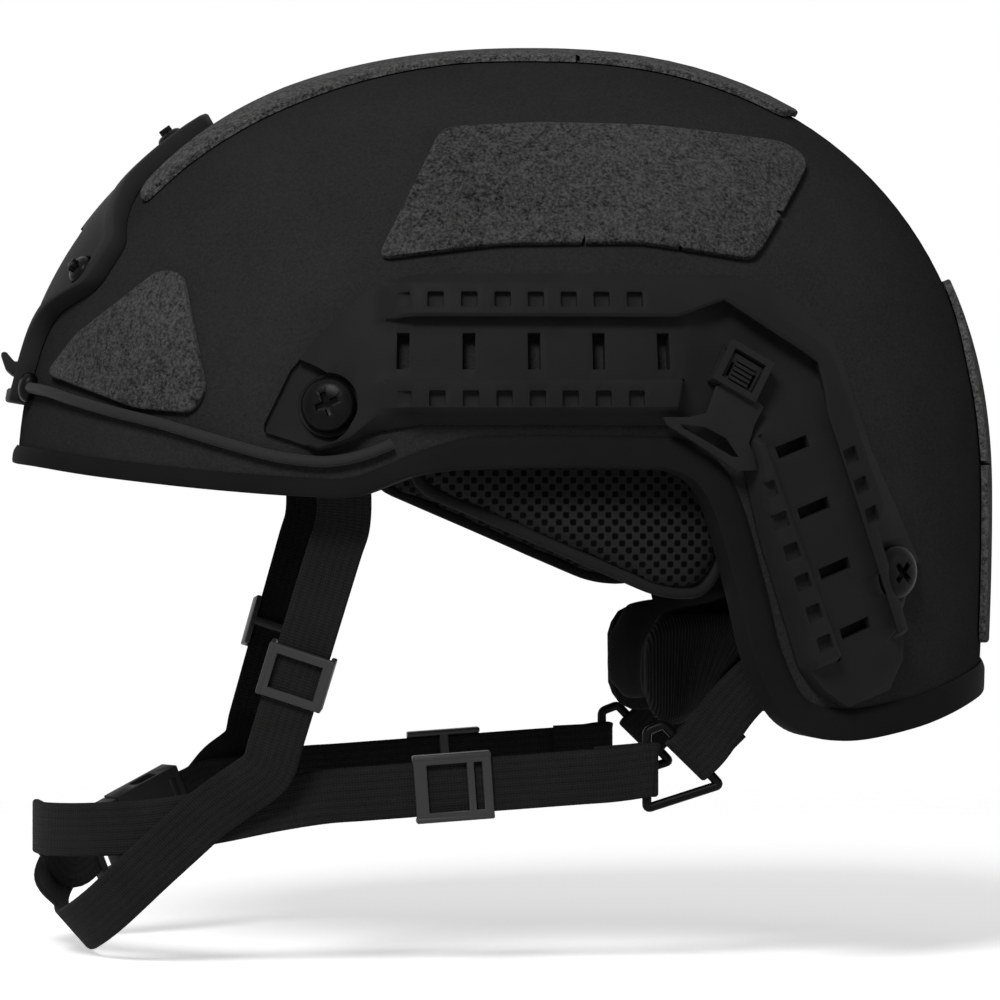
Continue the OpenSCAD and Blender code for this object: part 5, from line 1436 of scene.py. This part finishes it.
class HELMET_OT_cradle(bpy.types.Operator):
    """Nape cradle with its pad, and the fit dial"""
    bl_idname = "helmet.cradle"
    bl_label = "Nape Cradle and Dial"

    def execute(self, context):
        fabric = context.scene.helmet_fabric
        paint = finishes()
        half_h, back = YOKE_H / 2 - 0.8, YOKE_T / 2 + NAPE_PAD_BACK
        rings = []
        for a in np.arange(-90, 91, 4):
            edge = (90 - abs(a)) / 10
            size = float(np.interp(edge, [0, 1, 2, 3], [0.4, 0.8, 0.95, 1]))
            outline = [(q[0] * size * half_h, back + q[1] * size * NAPE_PAD_T) for q in NAPE_SECTION]
            rings.append(section(yoke_frame(a), outline))
        pad = new_piece("nape_cushion", *loft(rings), paint["plain_knit"])
        inflate(pad, fabric)
        co = points_of(pad.data) / MM
        angle = np.arctan2(-co[:, 1] / YOKE_HALF_Y, (co[:, 0] - MAP_X) / MAP_REACH)
        set_map(pad.data, np.stack([angle * PAD_MAP_R, co[:, 2] * MM], -1))
        finish_piece(pad, "helmet", "pad", "nape_pad")
        cover = paint["ribbed_cloth"]
        band = new_piece("nape_band", *nape_band(80, 0, 0)[:2], paint["cradle_plastic"])
        finish_piece(bevelled(band, 0.4), "helmet", "yoke", "nape_yoke")
        points, faces, uv = nape_band(86, 0.9, 1.6)
        finish_piece(new_piece("nape_sleeve", points, faces, cover, 60, uv), "helmet", "pad")
        for node, finish, width, slot in DIAL_PARTS:
            softened(node, paint[finish], width, slot)
        return {"FINISHED"}


# Webbing

RING_WIRE = 2.6
RING_Y = -59.0
RING_CORNERS = [np.array(p) for p in ((35.5, -73.2), (35.5, -94.6), (55.8, -88.2), (40.2, -71.4))]
# Straight runs of the straps, and the ways their outer faces look
FRONT_RUN = np.array([[-51.6, -83.7, -21], [-67.6, -70.7, -76]])
REAR_RUN = np.array([[26, -61.2, -85.2], [-54, -61.2, -90.8]])
FRONT_FACE, REAR_FACE = (-0.22, -0.95, -0.2), (0, -1, 0)
# Angles at which webbing is led round a bar, and where its ends stop in the buckle
WRAP_ANGLES, SOCKET_END, PLUG_END = (90, 45, 0, -45, -90), 12.5, -22.3
# The buckle's middle and two of its directions
BUCKLE_AT = np.array([-106.5, 46.5, -107])
BUCKLE_X = np.array([-0.79834787, -0.4498459, -0.40034903])
BUCKLE_Y = np.array([0.49090375, -0.87121381, 0])


class Webbing:
    """Routes of the webbing: each station holds a point and the way its outer face looks."""

    def __init__(self, wall, shape):
        self.wall = wall
        self.t = shape.web_thickness / MM
        self.w = shape.web_width / MM
        self.back = wall.wall + SEAT + 0.5 + self.t / 2
        self.wrap = RING_WIRE / 2 + 0.3 + self.t / 2
        self.stack = self.t / 2 + 0.25

    def on_wall(self, x, z, off):
        p = self.wall.side_at(x, z)
        return [*(self.wall.lay(p, -off)), *self.wall.outward(p)]

    def run(self, ends, share, face):
        return [*(ends[0] + (ends[1] - ends[0]) * share), *face]

    def buckle(self, x, y):
        return [*(BUCKLE_AT + x * BUCKLE_X + y * BUCKLE_Y), *(-BUCKLE_Y)]

    def front_start(self):
        x, z = FRONT_BOLT
        return [self.on_wall(x + 0.5, z + 11, self.back), self.on_wall(x, z, self.back),
                self.on_wall(x, z - 10.5, self.back), self.on_wall(x + 1, -5.5, self.back + 2.5)] + [
                    self.run(FRONT_RUN, t, FRONT_FACE) for t in (-0.1, 0.05, 0.5, 0.9, 1)]

    def under(self):
        join = [[-70, -66.6, -83.4, -0.27, -0.94, -0.2], [-77, -63, -89, -0.3, -0.93, -0.2],
                [-85, -59.2, -95, -0.32, -0.92, -0.22]]
        rest = [[-93, -55.4, -102.5, -0.36, -0.9, -0.25], [-102, -49.5, -111.3, -0.45, -0.83, -0.33],
                [-112.5, -35.5, -122.5, -0.62, -0.6, -0.5], [-119, -18, -129.2, -0.72, -0.25, -0.64],
                [-121.5, 0, -131.6, -0.75, 0, -0.66], [-122.6, 15, -129.6, -0.77, 0.3, -0.56],
                [-127.6, 30.2, -122.6, -0.72, 0.64, -0.3], self.buckle(19.5, -2.9),
                self.buckle(14, -self.stack), self.buckle(SOCKET_END, -self.stack)]
        return join, rest

    def wrapped(self):
        bar = (RING_CORNERS[0] + RING_CORNERS[1]) / 2
        start = [[bar[0] - 14, RING_Y - 0.6, bar[1] - 1, 0, 1, 0],
                 [bar[0] - 4, RING_Y + self.wrap - 0.4, bar[1] - 0.4, 0, 1, 0]]
        for a in WRAP_ANGLES:
            c, s = math.cos(math.radians(a)), math.sin(math.radians(a))
            start.append([bar[0] + self.wrap * c, RING_Y + self.wrap * s, bar[1], c, s, 0])
        return start + [self.run(REAR_RUN, t, REAR_FACE) for t in (0, 0.15, 0.5, 0.85, 1)]

    def chin(self):
        join = [[-68, -59.8, -93.1, -0.12, -0.99, -0.1], [-84, -56.4, -96.5, -0.3, -0.94, -0.15]]
        rest = [[-101, -46.8, -99.6, -0.6, -0.8, 0], [-118, -31.5, -101.4, -0.72, -0.69, 0],
                [-128.7, -14.5, -102.3, -0.93, -0.35, 0], [-132.2, 0, -102.5, -1, 0, 0],
                [-131.5, 12, -103.2, -0.93, 0.35, 0], [-128, 24, -106.8, -0.8, 0.6, 0],
                self.buckle(20.5, 2.1), self.buckle(14, self.stack), self.buckle(SOCKET_END, self.stack)]
        return join, rest

    def nape(self):
        bar = (RING_CORNERS[2] + RING_CORNERS[3]) / 2
        mid, out = np.array([bar[0], RING_Y, bar[1]]), np.array([0, -1.0, 0])
        way = unit(np.array([49, 0, 50.0]))

        def at(along, off, n_along, n_off):
            return [*(mid + along * way + off * out), *(n_along * way + n_off * out)]

        route = [at(14, -0.6, 0, -1), at(4, 0.4 - self.wrap, 0, -1)]
        for a in WRAP_ANGLES:
            c, s = math.cos(math.radians(a)), math.sin(math.radians(a))
            route.append(at(-self.wrap * c, -self.wrap * s, -c, -s))
        x, z = REAR_BOLT
        return route + [at(5, self.wrap + 0.4, 0, 1), [60, -65.6, -64.2, 0.2, -0.95, 0],
                        [74, -71.6, -50.2, 0.3, -0.95, 0], self.on_wall(x - 6.5, z - 8, self.back + 0.4),
                        self.on_wall(x, z, self.back), self.on_wall(x + 7, z + 8, self.back + 0.2)]

    def strip(self, name, stations, material, first=0, last=None, steps=8):
        """Woven strip with rounded edges between two of the route's stations."""
        rows = curve(np.array(stations, float), steps)
        p = rows[:, :3]
        t = unit(np.gradient(p, axis=0))
        n = rows[:, 3:] - (rows[:, 3:] * t).sum(-1, keepdims=True) * t
        n = unit(n)
        side = np.cross(n, t)
        along = np.concatenate([[0], np.cumsum(np.linalg.norm(np.diff(p, axis=0), axis=1))])
        stop = len(p) if last is None else last * steps + 1
        keep = slice(first * steps, stop)
        half_w, half_t = self.w / 2, self.t / 2
        wide = half_w - half_t
        outline = [(v, -half_t) for v in np.linspace(-wide, wide, 7)]
        outline += [(wide + half_t * math.cos(a), half_t * math.sin(a)) for a in (-0.9, -0.3, 0.3, 0.9)]
        outline += [(v, half_t) for v in np.linspace(wide, -wide, 7)]
        outline += [(-wide - half_t * math.cos(a), half_t * math.sin(a)) for a in (0.9, 0.3, -0.3, -0.9)]
        rings = [section((p[i], side[i], n[i]), outline) for i in range(len(p))][keep]
        uv = [(along[i] * MM, q[0] * MM) for i in range(len(p))[keep] for q in outline]
        points, faces = loft(rings)
        return new_piece(name, points, faces, material, 60, uv)


def mirrored(stations):
    return [[s[0], -s[1], s[2], s[3], -s[4], s[5]] for s in stations]


class HELMET_OT_webbing(bpy.types.Operator):
    """Webbing of the chin strap and nape, with the wire rings"""
    bl_idname = "helmet.webbing"
    bl_label = "Webbing and Rings"

    def execute(self, context):
        shape = context.scene.helmet_shape
        web = Webbing(Wall(shape), shape)
        paint = finishes()
        cloth = paint["woven_webbing"]
        front = web.front_start()
        join, rest = web.under()
        split = len(front) + len(join) - 1
        strap = web.strip("front_web_left", front + join + rest, cloth, 0, split)
        finish_piece(strap, "helmet", "webbing", "front_strap_left")
        under = web.strip("under_chin_web", front + join + rest, cloth, split)
        finish_piece(under, "helmet", "webbing", "chin_under_strap")
        right = mirrored(front) + [[-70, 66.8, -83.4, -0.27, 0.94, -0.2],
                                   [-77.5, 63.5, -89.3, -0.35, 0.9, -0.15], web.buckle(-30, -1.4),
                                   web.buckle(PLUG_END - 1.5, -web.stack),
                                   web.buckle(PLUG_END, -web.stack)]
        finish_piece(web.strip("front_web_right", right, cloth), "helmet", "webbing", "front_strap_right")
        rear = web.wrapped()
        join, rest = web.chin()
        split = len(rear) + len(join) - 1
        finish_piece(web.strip("rear_web_left", rear + join + rest, cloth, 0, split), "helmet", "webbing",
                     "rear_strap_left")
        finish_piece(web.strip("chin_web", rear + join + rest, cloth, split), "helmet", "webbing",
                     "chin_front_strap")
        right = mirrored(rear) + [[-67, 60.1, -93.2, -0.12, 0.99, -0.1], web.buckle(-31, 1.4),
                                  web.buckle(PLUG_END - 1.5, web.stack), web.buckle(PLUG_END, web.stack)]
        finish_piece(web.strip("rear_web_right", right, cloth), "helmet", "webbing", "rear_strap_right")
        nape = web.strip("nape_web_left", web.nape(), cloth)
        both(nape, "nape_web", "helmet", "webbing", "nape_strap")

        corners = rounded([tuple(c) for c in RING_CORNERS], 1.2, 3)
        path = np.array([(p[0], RING_Y, p[1]) for p in corners])
        way = unit(np.roll(path, -1, 0) - np.roll(path, 1, 0))
        flat = np.array([0, 1.0, 0])
        angles = np.linspace(0, 2 * math.pi, 16, endpoint=False)
        rings = [[path[i] + RING_WIRE / 2 * (math.cos(a) * np.cross(way[i], flat) + math.sin(a) * flat)
                  for a in angles] for i in range(len(path))]
        ring = new_piece("wire_ring_left", *loft(rings, closed=True), paint["blackened_steel"], 60)
        both(ring, "wire_ring", "helmet", "ring", "strap_ring")
        return {"FINISHED"}


# Sliders

SLIDER_T, SLIDER_RAIL, SLIDER_BAR, SLIDER_GAP, SLIDER_LAP = 1.6, 1.5, 2.6, 0.3, 1.3
BAR_SINK, SLIDER_ROUND = 0.12, 0.4
# Each slider's length and its front bars, as their start and width
FRONT_SLIDER = (15, ((0, SLIDER_BAR), (12.4, SLIDER_BAR)))
REAR_SLIDER = (21.5, ((0, SLIDER_BAR), (4.8, 2), (17.86, 3.64)))
# Each slider's place as a share of the strap's straight run
FRONT_SHARE = {"left": 0.655, "right": 0.51}
REAR_SHARE = {"left": 0.553, "right": 0.463}


def slider_frame(web, length, bars, material):
    """Slider about its own middle: rails that lap over the webbing, and bars in front and behind."""
    inside, near = web.w / 2 + SLIDER_GAP, web.t / 2 + SLIDER_GAP
    bar_t = SLIDER_T - BAR_SINK

    def bar(name, size, centre):
        return helper_box(name, size, material, SLIDER_ROUND, centre)

    rails = [bar("slider_rail", (length, SLIDER_RAIL, 2 * (near + SLIDER_T)),
                 (0, y * (inside + SLIDER_RAIL / 2), 0)) for y in (-1, 1)]
    rails += [bar("slider_lap", (length - 0.2, SLIDER_RAIL / 2 + SLIDER_LAP, bar_t),
                  (0, y * (inside + SLIDER_RAIL / 4 - SLIDER_LAP / 2), near + bar_t / 2)) for y in (-1, 1)]
    places = [(start + w / 2 - length / 2, w, 1) for start, w in bars] + [(0, SLIDER_BAR, -1)]
    across = [bar("slider_bar", (w, 2 * inside + SLIDER_RAIL, bar_t), (x, 0, side * (near + bar_t / 2)))
              for x, w, side in places]
    return combined(rails[0], rails[1:] + across, "UNION")


class HELMET_OT_sliders(bpy.types.Operator):
    """Sliders on the four branches of the chin strap"""
    bl_idname = "helmet.sliders"
    bl_label = "Sliders"

    def execute(self, context):
        shape = context.scene.helmet_shape
        web = Webbing(Wall(shape), shape)
        plastic = finishes()["slider_plastic"]
        for kind, run, face, shares, form in (("front", FRONT_RUN, FRONT_FACE, FRONT_SHARE, FRONT_SLIDER),
                                              ("rear", REAR_RUN, REAR_FACE, REAR_SHARE, REAR_SLIDER)):
            for side, flip in (("left", (1, 1, 1)), ("right", (1, -1, 1))):
                ends, up = run * flip, np.array(face) * flip
                way = unit(ends[1] - ends[0])
                up = unit(up - (up @ way) * way)
                piece = slider_frame(web, *form, plastic)
                piece.name = f"moulded_{kind}_slider_{side}"
                moved_to(piece, (ends[0] + (ends[1] - ends[0]) * shares[side], way, np.cross(up, way), up))
                node = f"{kind}_slider_{side}"
                finish_piece(piece, frame["nodes"][node]["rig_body"], "slider", node)
        return {"FINISHED"}


class HELMET_OT_buckle(bpy.types.Operator):
    """Side-release buckle below the right cheek"""
    bl_idname = "helmet.buckle"
    bl_label = "Chin Buckle"

    def execute(self, context):
        paint = finishes()
        for node in ("buckle_socket", "buckle_plug", "buckle_prong_upper", "buckle_prong_lower"):
            softened(node, paint["catch_plastic"], 0.3, "buckle")
        return {"FINISHED"}


# Stage

# Lamps as name, place, width and power; each looks at the origin
LAMPS = (("key_lamp", (-0.7, -1.75, 1.55), 0.8, 40), ("top_lamp", (0.3, -0.1, 2.2), 1.6, 1.5),
         ("rear_lamp", (1.9, -0.9, 0.5), 1.0, 2.4))
ROOM_TONE, FLOOR_TONE, FLOOR_GLOW = 0.19, 0.94, 0.55
# The floor lies this far below the helmet, and it fades out between two distances, in metres
FLOOR_DROP, FADE = 0.0006, (0.25, 0.8)
FLOOR_RINGS, FLOOR_SIDES = (1, 400, 900, 1800, 3000), 96
# The camera's bearing and height in degrees, its distance, its aim and its lens in mm
YAW, TILT, DISTANCE, AIM, LENS = 5, 0.5, 1.6, (0, 0, -0.010), 201.6


def seen_rays(nodes, link):
    """1 on the rays that show the backdrop: those of the camera, reflections and see-through parts."""
    rays = nodes.new("ShaderNodeLightPath")
    seen = rays.outputs["Is Camera Ray"]
    for kind in ("Is Glossy Ray", "Is Transmission Ray"):
        either = nodes.new("ShaderNodeMath")
        either.operation = "MAXIMUM"
        link(seen, either.inputs[0])
        link(rays.outputs[kind], either.inputs[1])
        seen = either.outputs[0]
    return seen


class HELMET_OT_stage(bpy.types.Operator):
    """Pale floor, soft light and the camera"""
    bl_idname = "helmet.stage"
    bl_label = "Stage"

    def execute(self, context):
        scene = context.scene
        scene.view_settings.view_transform = "Standard"
        world = bpy.data.worlds.new("pale_room")
        scene.world = world
        world.use_nodes = True
        nodes, link = world.node_tree.nodes, world.node_tree.links.new
        nodes.clear()
        seen = seen_rays(nodes, link)
        room, pale = nodes.new("ShaderNodeBackground"), nodes.new("ShaderNodeBackground")
        mix = nodes.new("ShaderNodeMixShader")
        room.inputs["Color"].default_value = (ROOM_TONE, ROOM_TONE, ROOM_TONE, 1)
        pale.inputs["Color"].default_value = (1, 1, 1, 1)
        link(seen, mix.inputs[0])
        link(room.outputs[0], mix.inputs[1])
        link(pale.outputs[0], mix.inputs[2])
        link(mix.outputs[0], nodes.new("ShaderNodeOutputWorld").inputs[0])

        for name, place, size, power in LAMPS:
            light = bpy.data.lights.new(name, "AREA")
            light.shape, light.size, light.energy = "DISK", size, power
            item = bpy.data.objects.new(name, light)
            item.location = place
            item.rotation_euler = (-Vector(place)).to_track_quat("-Z", "Y").to_euler()
            scene.collection.objects.link(item)

        floor_z = min(corner[2] for corner in CAD_BOX) - FLOOR_DROP
        angles = np.linspace(0, 2 * math.pi, FLOOR_SIDES, endpoint=False)
        rings = [[(r * math.cos(a), r * math.sin(a), floor_z / MM) for a in angles] for r in FLOOR_RINGS]
        f = Finish("pale_floor", (FLOOR_TONE, FLOOR_TONE, FLOOR_TONE), 0.9, 0.0)
        faint = f.noise(3.0, 2)
        f.tint(faint, 0.99, 1.01)
        f.surface.inputs["Emission Color"].default_value = (1, 1, 1, 1)
        glow = f.math("MULTIPLY", seen_rays(f.nodes, f.link), FLOOR_GLOW)
        f.link(glow, f.surface.inputs["Emission Strength"])
        clear = f.nodes.new("ShaderNodeBsdfTransparent")
        blend = f.nodes.new("ShaderNodeMixShader")
        x, y, _ = f.split(f.object_place())
        far = f.math("SQRT", f.math("ADD", f.math("MULTIPLY", x, x), f.math("MULTIPLY", y, y)))
        fade = f.spread(far, *FADE)
        out = f.nodes["Material Output"]
        f.link(fade, blend.inputs[0])
        f.link(f.surface.outputs[0], blend.inputs[1])
        f.link(clear.outputs[0], blend.inputs[2])
        f.link(blend.outputs[0], out.inputs["Surface"])
        points = np.array(rings).reshape(-1, 3)
        faces = grid_faces(len(rings), FLOOR_SIDES) + [list(range(FLOOR_SIDES))]
        floor = new_piece("floor", points, faces, f.material)

        camera = bpy.data.objects.new("camera", bpy.data.cameras.new("camera"))
        yaw, tilt, aim = math.radians(YAW), math.radians(TILT), Vector(AIM)
        back = Vector((-math.sin(yaw) * math.cos(tilt), -math.cos(yaw) * math.cos(tilt), math.sin(tilt)))
        camera.location = aim + back * DISTANCE
        camera.rotation_euler = (-back).to_track_quat("-Z", "Y").to_euler()
        camera.data.sensor_width = 36
        camera.data.lens = LENS
        scene.collection.objects.link(camera)
        scene.camera = camera
        return {"FINISHED"}


# Panel and start

STEPS = (HELMET_OT_stage, HELMET_OT_shell, HELMET_OT_patches, HELMET_OT_front_mount, HELMET_OT_rails,
         HELMET_OT_fasteners, HELMET_OT_catches, HELMET_OT_cord, HELMET_OT_liner, HELMET_OT_cradle,
         HELMET_OT_webbing, HELMET_OT_sliders, HELMET_OT_buckle)


class HELMET_PT_panel(bpy.types.Panel):
    """Sizes, colours and pieces of the helmet"""
    bl_idname = "HELMET_PT_panel"
    bl_label = "Helmet"
    bl_space_type = "VIEW_3D"
    bl_region_type = "UI"
    bl_category = "Helmet"

    def draw(self, context):
        for group in (context.scene.helmet_shape, context.scene.helmet_colours, context.scene.helmet_fabric):
            box = self.layout.box()
            for name in group.__annotations__:
                box.prop(group, name)
        for step in STEPS:
            self.layout.operator(step.bl_idname)


CLASSES = (HelmetShape, HelmetColours, HelmetFabric, *STEPS, HELMET_PT_panel)


def register():
    for item in CLASSES:
        bpy.utils.register_class(item)
    bpy.types.Scene.helmet_shape = PointerProperty(type=HelmetShape)
    bpy.types.Scene.helmet_colours = PointerProperty(type=HelmetColours)
    bpy.types.Scene.helmet_fabric = PointerProperty(type=HelmetFabric)


def unregister():
    for name in ("helmet_shape", "helmet_colours", "helmet_fabric"):
        delattr(bpy.types.Scene, name)
    for item in reversed(CLASSES):
        bpy.utils.unregister_class(item)


def main():
    register()
    for step in STEPS:
        group, name = step.bl_idname.split(".")
        getattr(getattr(bpy.ops, group), name)()


if __name__ == "__main__":
    main()
